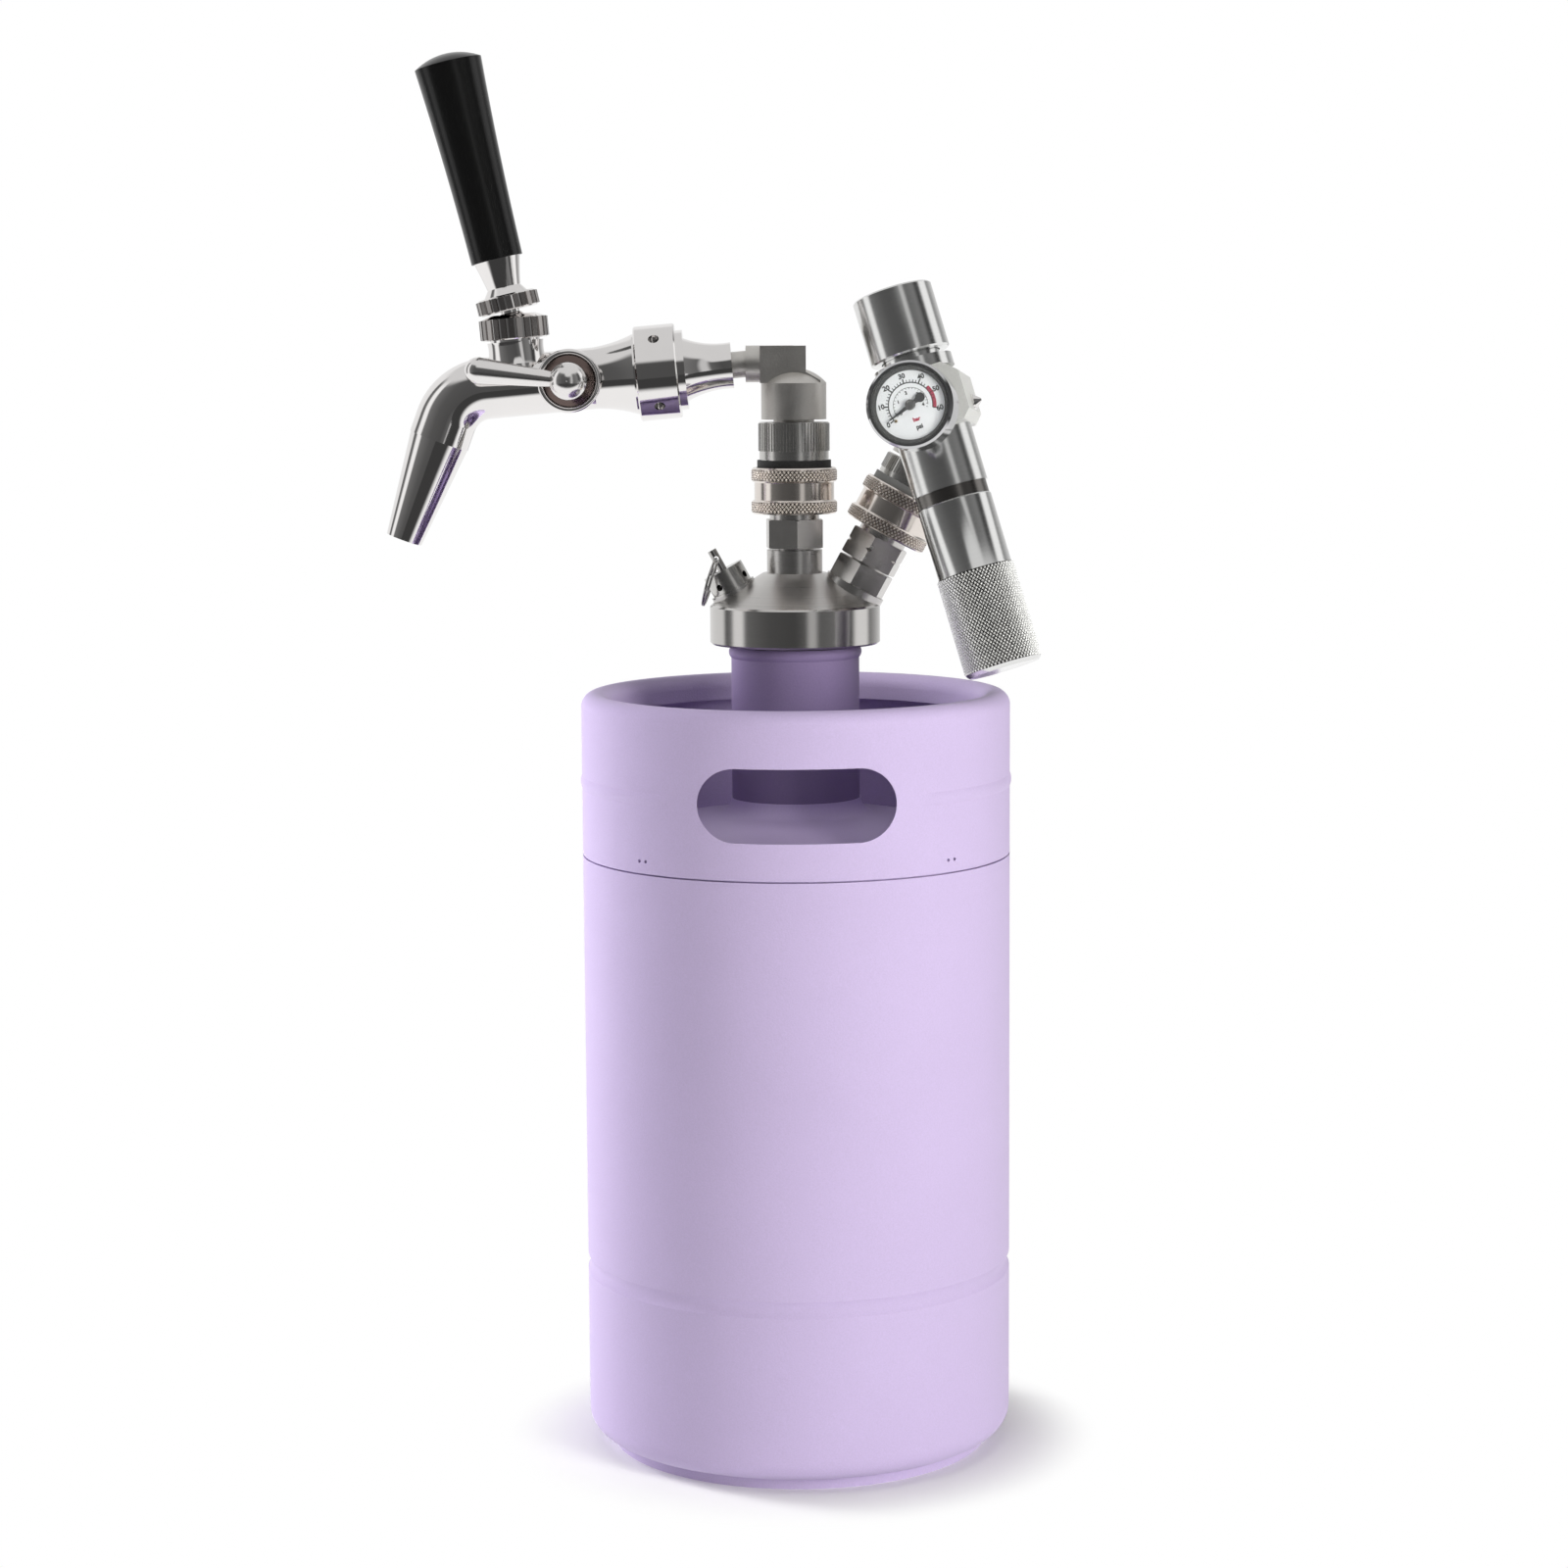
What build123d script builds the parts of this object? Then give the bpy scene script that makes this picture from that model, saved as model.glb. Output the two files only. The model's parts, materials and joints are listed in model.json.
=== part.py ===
from build123d import *
import math
import os

# An insulated mini keg with a flow-control tap and a cartridge gas regulator on its screw head.
# Millimetres and degrees. The keg stands on the floor about the Z axis, its handle slot faces
# the front, the tap points towards -X and the regulator hangs at the front right.

# Fits
SEAT = 0.1
RUN = 0.12
CLEAR = 0.4

# Keg shell, base and groove
KEG_R = 80.0
SHELL_WALL = 1.0
BASE_ROUND = 8.0
FOOT_H = 4.3
FOOT_INSET = 1.0
FOOT_W = 6.0
GROOVE_Z = 69.1
GROOVE_W = 6.0
GROOVE_D = 0.9
SEAM_Z = 224.5
SEAM_W = 0.6
SHOULDER_STEP = 5.0
SHOULDER_RISE = 9.5
SHOULDER_CROWN = 0.7
TIP_HOLE_R = 4.0
TIP_CAP_R = 11.0
TIP_CAP_T = 1.5

# Inner vessel and neck
VACUUM_GAP = 8.0
VESSEL_WALL = 0.8
VESSEL_ROUND = 12.0
NECK_R = 23.85
NECK_WALL = 1.9
NECK_TOP_Z = 301.7
NECK_DROP = 6.0
LIP_PROUD = 0.9
LIP_H = 4.2
NECK_FLARE = 6.0

# Top collar with its rolled rim, handle slot, stiffening beads and drain holes
COLLAR_WALL = 1.5
RIM_Z = 285.0
RIM_ROLL_R = 5.2
RIM_SKIRT = 4.8
SLOT_Z = 251.5
SLOT_L = 71.0
SLOT_H = 26.6
BEAD_Z = 252.0
BEAD_W = 4.6
BEAD_PROUD = 0.5
BEAD_ARC = 100.0
DRAIN_Z = 229.2
DRAIN_R = 0.65
DRAIN_PITCH = 3.2
DRAIN_ANGLE = 44.0

# Screw cap
GASKET_T = 1.0
CAP_R = 31.65
CAP_H = 14.6
CAP_EDGE = 0.7
CONE_H = 11.7
CONE_TOP_R = 11.8
SPIGOT_L = 14.0
SPIGOT_WALL = 4.0
CAP_WEB = 5.0
BOSS_R = 10.3
BOSS_H = 8.5

# Ports on the cone
PORT_TILT = 28.8
PAD_ROOT = 6.0
GAS_PAD_H = 1.4
PRV_PAD_H = 0.4
GAS_PORT_R = 22.0
PRV_PORT_R = 22.6
PORT_THREAD_R = 8.0
PORT_THREAD_L = 9.0
PORT_BORE_R = 3.0

# Valve posts: a hexagon, a barrel with a ball groove and a seal groove, a poppet and its spring
NIPPLE_R = 7.2
NIPPLE_H = 7.0
SPEAR_R = 4.75
SPEAR_WALL = 0.7
SPEAR_FLANGE_R = 6.9
SPEAR_FLANGE_T = 1.2
SPEAR_TO_FLOOR = 8.0
HEX_AF = 20.0
HEX_H = 10.6
HEX_EDGE = 0.6
LIQUID_HEX_TURN = 35.0
NOTCH_D = 0.8
POST_LIFT = 0.7
POST_R = 9.2
POST_TOP = 37.0
POST_BORE_R = 5.5
POST_LIP_H = 3.0
POST_LIP_R = 3.6
ORING_R = 1.0
ORING_D = 33.4
POPPET_R = 4.9
POPPET_T = 2.5
POPPET_STEM_R = 2.0
POPPET_OPEN = 1.5
WIRE_R = 0.4
POPPET_COIL_R = 4.2
POPPET_TURNS = 6

# Ball-lock disconnects
LOCK_BALL_R = 1.8
LOCK_BALL_D = 27.0
LOCK_BALLS = 4
LOCK_BALL_START = 45.0
SOCKET_GAP = 0.4
SKIRT_R = 12.5
SKIRT_LOW = 22.3
WEB_LOW = 39.5
WEB_T = 3.5
PUSH_PIN_R = 1.8
COLLAR_LOW = 22.0
COLLAR_H = 17.0
COLLAR_R = 15.85
WAIST_R = 14.8
WAIST_LOW = 5.2
WAIST_HIGH = 11.1
COLLAR_LIFT = 3.0
POCKET_R = 14.2
POCKET_LOW = 11.4
COIL_R = 13.35
COIL_TURNS = 3
BUMPER_R = 13.7
BUMPER_H = 2.7
GRIP_R = 12.85
GRIP_H = 13.6
GAS_GRIP_H = 7.6
GRIP_GAP = 1.0
ELBOW_R = 12.05
ELBOW_H = 13.4
GAS_ELBOW_H = 10.6
DOME_H = 5.5
ELBOW_SPIGOT_R = 7.5
ELBOW_SPIGOT_L = 6.0
BLOCK_BACK = 9.8
BLOCK_TOP_BACK = 4.5
BLOCK_FRONT = 12.4
BLOCK_W = 14.0
BLOCK_RISE = 6.6
BLOCK_SLOPE_HIGH = 4.0
BLOCK_SLOPE_LOW = 1.0
OUTLET_RISE = 7.0
HUB_R = 6.75
HUB_END = 17.7
STUD_R = 4.85
STUD_L = 10.0
FLOW_BORE_R = 3.0

# Tap: shank, nut, body and nozzle along an axis that droops from the elbow
TAP_DROOP = 5.0
BELL_START = 5.0
BELL_END = 22.3
BELL_SMALL_R = 8.5
BELL_LARGE_R = 11.65
BELL_HOLLOW = 1.2
SHANK_RING_T = 2.7
SHANK_RING_R = 14.65
SHANK_R = 10.5
SHANK_FLANGE_T = 2.0
SHANK_BORE_R = 4.0
WASHER_T = 2.0
NUT_R = 17.4
NUT_L = 15.2
NUT_LIP = 3.0
NUT_HOLE_R = 2.0
NUT_HOLES = 4
NUT_HOLE_START = 45.0
NUT_EDGE = 0.5
BODY_FLANGE_R = 14.7
BODY_FLANGE_END = 41.0
BODY_NECK_END = 56.0
TUBE_R = 11.3
TUBE_BORE_R = 8.5
BEND_START = 96.0
BEND_R = 18.0
BEND_TURN = 64.5
BEND_TAIL = 7.9
NOZZLE_R = 11.05
NOZZLE_TIP_R = 6.75
NOZZLE_L = 38.9
NOZZLE_WALL = 1.3
NOZZLE_SPIGOT_L = 4.0

# Tap lever, bonnet and plunger
BONNET_S = 83.8
BONNET_FOOT_T = 8.0
BONNET_NECK_R = 10.4
BONNET_NECK_T = 16.2
BONNET_THREAD_R = 9.2
BONNET_RING_LOW = 17.0
BONNET_RING_H = 9.1
BONNET_RING_R = 12.65
BONNET_CHAMFER_W = 4.2
BONNET_CHAMFER_H = 1.4
BONNET_LIP_T = 1.2
PIVOT_T = 21.4
LEVER_LEAN = 8.3
LEVER_BALL_R = 6.5
LEVER_STEM_R = 3.6
FINGER_R = 2.4
FINGER_BALL_R = 3.2
LEVER_RING_LOW = 6.2
LEVER_RING_H = 5.9
LEVER_RING_R = 11.55
LEVER_RING_EDGE = 0.9
FERRULE_H = 13.2
FERRULE_FOOT_H = 2.8
FERRULE_FOOT_R = 8.2
FERRULE_WAIST_R = 6.2
FERRULE_TOP_R = 8.6
GRIP_LOW_R = 9.6
GRIP_TOP_R = 12.45
GRIP_WAIST = 0.5
GRIP_L = 73.0
GRIP_DOME = 3.6
LEVER_THREAD_L = 20.0
PLUNGER_R = 7.6
PLUNGER_BACK = 6.6
PLUNGER_FRONT = 8.0
PLUNGER_SEAL_T = 2.0
PLUNGER_SLOT_W = 8.4
PLUNGER_SLOT_LOW = 4.4

# Flow control on the tap's side
FLOW_S = 64.7
FLOW_BOSS_R = 10.2
FLOW_BOSS_Y = 12.0
GLAND_R = 11.7
GLAND_T = 3.6
GLAND_DISH = 2.2
GLAND_RIM = 2.4
SPINDLE_R = 3.0
FLOW_BALL_R = 7.0
FLOW_BALL_Y = 20.9
FLOW_LEVER_RISE = 12.0
FLOW_LEVER_L = 37.8
FLOW_LEVER_SMALL_R = 2.65
FLOW_LEVER_LARGE_R = 4.9
CRANK_R = 2.0
CRANK_PIN_R = 0.9
CRANK_PIN_END = 2.0
SPINDLE_END = 5.2
RESTRICTOR_R = 6.0
RESTRICTOR_BACK = 8.5
RESTRICTOR_FRONT = 4.5
RESTRICTOR_SLOT_W = 3.2

# Pressure relief valve
PRV_R = 7.75
PRV_H = 8.4
PRV_FLANGE_R = 8.7
PRV_FLANGE_T = 0.8
PRV_THREAD_R = 6.0
PRV_THREAD_L = 8.5
PRV_CHAMBER_R = 4.6
PRV_CHAMBER_LOW = -2.0
PRV_ROOF = 1.2
PRV_SEAT_R = 2.6
PRV_SEAL_T = 1.2
PRV_PIN_R = 1.7
PRV_PIN_OUT = 8.3
PRV_PLATE_T = 0.8
PRV_EYE_R = 0.95
PRV_EYE_DROP = 3.5
PRV_COIL_R = 3.3
PRV_TURNS = 4
PRV_VENTS = 4
PRV_VENT_R = 1.25
PRV_VENT_Z = 3.4
PRV_VENT_TURN = 59.0
PULL_RING_R = 9.0
PULL_WIRE_R = 0.6
PULL_RING_LEAN = 16.0
PULL_RING_TURN = 6.0

# Regulator: hangs from the gas elbow's outlet, turned about that outlet
GAS_AIM = 13.6
REG_REACH = 36.0
REG_ROLL = 46.0
REG_TOP = 14.7
REG_BOTTOM = 7.3
REG_DEPTH = 14.0
REG_HALF_W = 16.8
REG_TOP_HALF_W = 11.5
REG_SHOULDER_HIGH = 10.0
REG_SHOULDER_LOW = 4.0
REG_TUBE_R = 13.85
REG_TUBE_L = 21.2
REG_GROOVE_R = 13.1
REG_GROOVE_W = 4.6
REG_THREAD_R = 12.0
REG_THREAD_L = 7.5
REG_CHAMBER_R = 8.95
REG_CHAMBER_LOW = 2.0
BONNET_FLANGE_R = 14.4
BONNET_FLANGE_T = 4.5
BONNET_TUBE_R = 10.5
BONNET_TUBE_L = 20.0
BONNET_ROOF = 2.0
PISTON_T = 4.0
PISTON_STEM_R = 2.0
PISTON_STEM_L = 6.0
RANGE_COIL_R = 7.0
RANGE_WIRE_R = 0.9
RANGE_COIL_L = 14.0
RANGE_TURNS = 5
KNOB_R = 14.6
KNOB_H = 24.4
KNOB_GAP = 2.4
KNOB_TOP_T = 4.0
KNOB_RECESS = 0.8
KNOB_RIM = 1.2
KNOB_EDGE = 0.6
SCREW_R = 2.8
SCREW_PLATE_R = 8.0
SCREW_PLATE_T = 1.5
RELIEF_DROP = 0.8
RELIEF_BASE_R = 3.0
RELIEF_BASE_L = 0.9
RELIEF_CONE_L = 2.4
RELIEF_TIP_R = 0.5

# Gas cartridge and its screw sleeve
SLEEVE_R = 13.6
SLEEVE_PLAIN_L = 25.5
KNURL_R = 14.2
KNURL_L = 37.3
KNURL_EDGE = 1.0
SLEEVE_FLOOR = 2.2
CARTRIDGE_R = 10.85
CARTRIDGE_NECK_R = 4.6
CARTRIDGE_NECK_L = 12.0
CARTRIDGE_SHOULDER = 9.0
CARTRIDGE_ROUND = 7.0
CARTRIDGE_TOP = 16.0

# Pressure gauge
GAUGE_R = 15.5
GAUGE_BACK = 26.0
GAUGE_FRONT = 39.3
GAUGE_RIM = 1.5
GAUGE_CUP_D = 3.4
GAUGE_STEM_R = 4.9
GAUGE_STEM_IN = 5.0
GAUGE_NUT_AF = 12.0
GAUGE_STEM_SHOWN = 2.0
GAUGE_EDGE = 0.8
DIAL_T = 0.6
LENS_T = 0.7
LENS_SET = 0.4
NEEDLE_LIFT = 0.5
NEEDLE_T = 0.35
NEEDLE_L = 10.6
NEEDLE_TAIL = 5.2
NEEDLE_W = 1.1
NEEDLE_HUB_R = 1.9
NEEDLE_SPINDLE_R = 0.6
NEEDLE_ZERO = 200.0

# Heights and radii that follow from the driving dimensions
FOOT_R = KEG_R - BASE_ROUND - FOOT_INSET
SHELL_FLOOR_Z = FOOT_H + SHELL_WALL
STEP_R = KEG_R - COLLAR_WALL - SEAT
SHELL_TOP_Z = SEAM_Z - SEAM_W / 2
COLLAR_FOOT_Z = SEAM_Z + SEAM_W / 2
STEP_TOP_Z = SEAM_Z + SHOULDER_STEP
SHOULDER_Z = STEP_TOP_Z + SHOULDER_RISE
VESSEL_R = KEG_R - SHELL_WALL - VACUUM_GAP
VESSEL_BOTTOM_Z = SHELL_FLOOR_Z + VACUUM_GAP
VESSEL_SIDE_Z = SHELL_TOP_Z - VACUUM_GAP
VESSEL_SHOULDER_Z = SHOULDER_Z - SHELL_WALL - VACUUM_GAP
NECK_BORE_R = NECK_R - NECK_WALL
CAP_Z = NECK_TOP_Z + GASKET_T
CAP_TOP_Z = CAP_Z + CAP_H
CONE_TOP_Z = CAP_TOP_Z + CONE_H
SPIGOT_R = NECK_BORE_R - CLEAR
HOLLOW_R = SPIGOT_R - SPIGOT_WALL
HOLLOW_Z = CAP_Z + CAP_WEB
NIPPLE_TOP = BOSS_H + NIPPLE_H
SPEAR_TOP = NIPPLE_TOP + SPEAR_FLANGE_T
POST_LOW = BOSS_H + POST_LIFT
HEX_TOP = POST_LOW + HEX_H
SOCKET_R = POST_R + SOCKET_GAP
LOCK_PITCH_R = (SOCKET_R + SKIRT_R) / 2 - SOCKET_GAP
POPPET_TOP = POST_TOP - POST_LIP_H - POPPET_OPEN
BUMPER_LOW = COLLAR_LOW + COLLAR_H
GRIP_LOW = BUMPER_LOW + BUMPER_H + CLEAR
OUTLET = GRIP_LOW + GRIP_H + GRIP_GAP + ELBOW_H + OUTLET_RISE
GAS_OUTLET = GRIP_LOW + GAS_GRIP_H + GRIP_GAP + GAS_ELBOW_H + OUTLET_RISE
NUT_LOW = BELL_END + SHANK_RING_T
NUT_HIGH = NUT_LOW + NUT_L
SHANK_FLANGE_LOW = NUT_LOW + NUT_LIP + SEAT
WASHER_LOW = SHANK_FLANGE_LOW + SHANK_FLANGE_T
BODY_START = WASHER_LOW + WASHER_T
BONNET_RING_TOP = BONNET_RING_LOW + BONNET_RING_H
BONNET_STUB_TOP = BONNET_RING_TOP - BONNET_LIP_T - CLEAR
FERRULE_LOW = LEVER_RING_LOW + LEVER_RING_H
FERRULE_HIGH = FERRULE_LOW + FERRULE_H
LEVER_STEM_TOP = FERRULE_LOW + LEVER_THREAD_L
FINGER_S = BONNET_S - PIVOT_T * math.sin(math.radians(LEVER_LEAN))
PRV_PLATE_TOP = PRV_CHAMBER_LOW + PRV_SEAL_T + PRV_PLATE_T
PRV_TIP = PRV_H + PRV_PIN_OUT
PRV_EYE = PRV_TIP - PRV_EYE_DROP
REG_TUBE_END = -REG_BOTTOM - REG_TUBE_L
REG_GROOVE_END = REG_TUBE_END - REG_GROOVE_W
REG_THREAD_END = REG_GROOVE_END - REG_THREAD_L
SLEEVE_TOP = REG_GROOVE_END - SEAT
SCREW_END = REG_TOP + RANGE_COIL_L + SEAT + SCREW_PLATE_T
SLEEVE_END = SLEEVE_TOP - SLEEVE_PLAIN_L - KNURL_L
DIAL_LOW = GAUGE_FRONT - GAUGE_CUP_D


def outline(*steps):
    """Closed face through points; a step of two points is an arc through the first to the second."""
    edges = []
    here = steps[0]
    for step in steps[1:] + (steps[0],):
        if isinstance(step[0], tuple):
            edges.append(ThreePointArc(here, step[0], step[1]))
            here = step[1]
        else:
            edges.append(Line(here, step))
            here = step
    return make_face(edges)


def turned(*steps):
    """Solid of revolution about Z from an outline of (radius, height) points."""
    return revolve(Plane.XZ * outline(*steps), Axis.Z)


def rod(radius, low, high):
    """Cylinder on the Z axis between two heights."""
    return Pos(0, 0, low) * Cylinder(radius, high - low, align=(Align.CENTER, Align.CENTER, Align.MIN))


def ring(outer, inner, low, high):
    """Tube on the Z axis between two heights."""
    return rod(outer, low, high) - rod(inner, low, high)


def taper(low_r, high_r, low, high):
    """Cone frustum on the Z axis between two heights."""
    return Pos(0, 0, low) * Cone(low_r, high_r, high - low, align=(Align.CENTER, Align.CENTER, Align.MIN))


def hexagon(across, low, high, edge):
    """Hexagon bar on the Z axis with turned chamfers at both ends."""
    corner = across / math.sqrt(3)
    bar = Pos(0, 0, low) * extrude(RegularPolygon(corner, 6), high - low)
    blank = turned(
        (0, low), (corner - edge, low), (corner, low + edge / 2),
        (corner, high - edge / 2), (corner - edge, high), (0, high),
    )
    return bar & blank


def corner_arc(centre_r, centre_z, radius, side):
    """Middle of a quarter round about a centre, on its upper (+1) or lower (-1) outer side."""
    reach = radius * math.sqrt(0.5)
    return centre_r + reach, centre_z + side * reach


def dome_middle(radius, rise):
    """Point halfway along a dome's arc from its edge to its top, as (radius, height above the edge)."""
    sphere = (radius * radius + rise * rise) / (2 * rise)
    half = math.asin(radius / sphere) / 2
    return sphere * math.sin(half), rise - sphere * (1 - math.cos(half))


def coil(radius, wire, low, high, turns):
    """Round-wire spring on the Z axis: half turns, each of two arcs that meet smoothly."""
    count = 2 * turns
    rise = (high - low - 2 * wire) / count
    points = []
    tangents = []
    for index in range(count + 1):
        angle = math.pi * index
        height = low + wire + rise * index
        points.append(Vector(radius * math.cos(angle), radius * math.sin(angle), height))
        slope = rise / math.pi
        tangents.append(Vector(-radius * math.sin(angle), radius * math.cos(angle), slope).normalized())
    edges = []
    for index in range(count):
        span = points[index + 1] - points[index]
        both = tangents[index] + tangents[index + 1]
        spread = 1 - tangents[index].dot(tangents[index + 1])
        along = span.dot(both)
        reach = (math.sqrt(along * along + 2 * spread * span.dot(span)) - along) / (2 * spread)
        first = points[index] + tangents[index] * reach
        second = points[index + 1] - tangents[index + 1] * reach
        middle = (first + second) * 0.5
        edges.append(TangentArc(points[index], middle, tangent=tangents[index]))
        edges.append(TangentArc(middle, points[index + 1], tangent=second - first))
    section = Plane(origin=points[0], z_dir=tangents[0]) * Circle(wire)
    return sweep(section, path=Wire(edges))


def outer_shell():
    """Painted outer wall: rounded base, rolled groove, collar step, domed shoulder and neck flare."""
    base_c = (KEG_R - BASE_ROUND, FOOT_H + BASE_ROUND)
    inner_r = KEG_R - SHELL_WALL
    groove_low = GROOVE_Z - GROOVE_W / 2
    groove_high = GROOVE_Z + GROOVE_W / 2
    neck_hole = NECK_R + SEAT
    crown_r = (STEP_R + neck_hole) / 2
    crown_z = STEP_TOP_Z + SHOULDER_RISE * SHOULDER_CROWN
    step_in = STEP_R - SHELL_WALL
    flare_r = neck_hole + CLEAR + NECK_FLARE
    flare_z = SHOULDER_Z + NECK_FLARE
    flare_in = NECK_FLARE * math.sqrt(0.5)
    return turned(
        (TIP_HOLE_R, FOOT_H),
        (base_c[0], FOOT_H),
        (corner_arc(*base_c, BASE_ROUND, -1), (KEG_R, base_c[1])),
        (KEG_R, groove_low),
        ((KEG_R - GROOVE_D, GROOVE_Z), (KEG_R, groove_high)),
        (KEG_R, SHELL_TOP_Z),
        (STEP_R, SHELL_TOP_Z),
        (STEP_R, STEP_TOP_Z),
        ((crown_r, crown_z), (flare_r, SHOULDER_Z)),
        ((flare_r - flare_in, flare_z - flare_in), (neck_hole + CLEAR, flare_z)),
        (neck_hole, flare_z),
        (neck_hole, SHOULDER_Z - SHELL_WALL),
        ((crown_r, crown_z - SHELL_WALL), (step_in, STEP_TOP_Z - SHELL_WALL)),
        (step_in, SHELL_TOP_Z - SHELL_WALL),
        (inner_r, SHELL_TOP_Z - SHELL_WALL),
        (inner_r, groove_high),
        ((inner_r - GROOVE_D, GROOVE_Z), (inner_r, groove_low)),
        (inner_r, base_c[1]),
        (corner_arc(*base_c, BASE_ROUND - SHELL_WALL, -1), (base_c[0], SHELL_FLOOR_Z)),
        (TIP_HOLE_R, SHELL_FLOOR_Z),
    )


def foot_ring():
    """Ring that the keg stands on."""
    return ring(FOOT_R, FOOT_R - FOOT_W, 0, FOOT_H)


def vacuum_cap():
    """Disc under the base that covers the hole the air was drawn out of."""
    disc = rod(TIP_CAP_R, FOOT_H - TIP_CAP_T, FOOT_H)
    return disc + rod(TIP_HOLE_R - SEAT, FOOT_H, SHELL_FLOOR_Z)


def inner_vessel():
    """Vessel that holds the drink, hung from the neck inside the outer shell."""
    bore = VESSEL_R - VESSEL_WALL
    floor = VESSEL_BOTTOM_Z + VESSEL_WALL
    base_c = (VESSEL_R - VESSEL_ROUND, VESSEL_BOTTOM_Z + VESSEL_ROUND)
    neck_hole = NECK_R + SEAT
    rise = VESSEL_SHOULDER_Z - VESSEL_SIDE_Z
    crown_r = (VESSEL_R + neck_hole) / 2
    crown_z = VESSEL_SIDE_Z + rise * SHOULDER_CROWN
    return turned(
        (0, VESSEL_BOTTOM_Z),
        (base_c[0], VESSEL_BOTTOM_Z),
        (corner_arc(*base_c, VESSEL_ROUND, -1), (VESSEL_R, base_c[1])),
        (VESSEL_R, VESSEL_SIDE_Z),
        ((crown_r, crown_z), (neck_hole, VESSEL_SHOULDER_Z)),
        (neck_hole, VESSEL_SHOULDER_Z - VESSEL_WALL),
        ((crown_r, crown_z - VESSEL_WALL), (bore, VESSEL_SIDE_Z - VESSEL_WALL)),
        (bore, base_c[1]),
        (corner_arc(*base_c, VESSEL_ROUND - VESSEL_WALL, -1), (base_c[0], floor)),
        (0, floor),
    )


def neck_tube():
    """Neck with its rolled lip; the cap screws into it."""
    low = VESSEL_SHOULDER_Z - NECK_DROP
    return turned(
        (NECK_BORE_R, low),
        (NECK_R, low),
        (NECK_R, NECK_TOP_Z - LIP_H),
        ((NECK_R + LIP_PROUD, NECK_TOP_Z - LIP_H / 2), (NECK_R, NECK_TOP_Z)),
        (NECK_BORE_R, NECK_TOP_Z),
    )


def top_collar():
    """Carrying collar: rolled rim, handle slot in front, side beads and drain holes."""
    inner = KEG_R - COLLAR_WALL
    roll_c = (KEG_R - RIM_ROLL_R, RIM_Z - RIM_ROLL_R)
    roll_in = RIM_ROLL_R - COLLAR_WALL
    lip_r = roll_c[0] - RIM_ROLL_R
    skirt_z = roll_c[1] - RIM_SKIRT
    body = turned(
        (inner, COLLAR_FOOT_Z),
        (KEG_R, COLLAR_FOOT_Z),
        (KEG_R, roll_c[1]),
        ((roll_c[0], RIM_Z), (lip_r, roll_c[1])),
        (lip_r, skirt_z),
        (lip_r + COLLAR_WALL, skirt_z),
        (lip_r + COLLAR_WALL, roll_c[1]),
        ((roll_c[0], roll_c[1] + roll_in), (inner, roll_c[1])),
    )
    root = KEG_R - COLLAR_WALL / 2
    bead = Plane.XZ * outline(
        (root, BEAD_Z - BEAD_W / 2),
        (KEG_R, BEAD_Z - BEAD_W / 2),
        ((KEG_R + BEAD_PROUD, BEAD_Z), (KEG_R, BEAD_Z + BEAD_W / 2)),
        (root, BEAD_Z + BEAD_W / 2),
    )
    for side in (0, 180):
        body += Rot(0, 0, side - BEAD_ARC / 2) * revolve(bead, Axis.Z, BEAD_ARC)
    slot = Plane.XZ * Pos(0, SLOT_Z) * SlotOverall(SLOT_L, SLOT_H)
    body -= extrude(slot, 2 * KEG_R)
    step = math.degrees(DRAIN_PITCH / KEG_R)
    for side in (-1, 1):
        for hole in (-0.5, 0.5):
            angle = -90 + side * DRAIN_ANGLE + hole * step
            drill = Pos(KEG_R, 0, DRAIN_Z) * Rot(0, 90, 0) * Cylinder(DRAIN_R, 3 * COLLAR_WALL)
            body -= Rot(0, 0, angle) * drill
    return body


def port_frame(side, radius, rise):
    """Frame on a port's face above the cap's cone: +Z leans outwards towards side (+1 or -1) along X."""
    slope = CONE_H / (CAP_R - CAP_EDGE - CONE_TOP_R)
    lean = math.radians(PORT_TILT)
    axis = Vector(side * math.sin(lean), 0, math.cos(lean))
    height = CAP_TOP_Z + (CAP_R - CAP_EDGE - radius) * slope
    origin = Vector(side * radius, 0, height) + axis * rise
    return origin, axis


def aim(origin, x_dir, z_dir):
    """Frame from an origin and two directions at right angles."""
    return Plane(origin=origin, x_dir=x_dir, z_dir=z_dir)


GAS_ORIGIN, GAS_AXIS = port_frame(1, GAS_PORT_R, GAS_PAD_H)
PRV_ORIGIN, PRV_AXIS = port_frame(-1, PRV_PORT_R, PRV_PAD_H)
GAS_SIDE = Vector(math.cos(math.radians(PORT_TILT)), 0, -math.sin(math.radians(PORT_TILT)))
GAS_BACK = GAS_SIDE * math.sin(math.radians(GAS_AIM)) + Vector(0, 1, 0) * math.cos(math.radians(GAS_AIM))
LIQUID = aim((0, 0, CONE_TOP_Z), (1, 0, 0), (0, 0, 1))
GAS = aim(GAS_ORIGIN, GAS_BACK, GAS_AXIS)
PRV = aim(PRV_ORIGIN, Vector(0, 1, 0).cross(PRV_AXIS), PRV_AXIS)
REG_UP = GAS_AXIS.rotate(Axis((0, 0, 0), GAS_BACK), -REG_ROLL)
REG_CENTRE = GAS_ORIGIN + GAS_AXIS * GAS_OUTLET - GAS_BACK * REG_REACH
REG = aim(REG_CENTRE, GAS_BACK.cross(REG_UP), REG_UP)
DROOP = math.radians(TAP_DROOP)
TAP_OUT = Vector(-math.cos(DROOP), 0, -math.sin(DROOP))
TAP_UP = Vector(-math.sin(DROOP), 0, math.cos(DROOP))
TAP_ORIGIN = Vector(-HUB_END, 0, CONE_TOP_Z + OUTLET)
TAP = aim(TAP_ORIGIN, TAP_UP, TAP_OUT)
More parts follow.
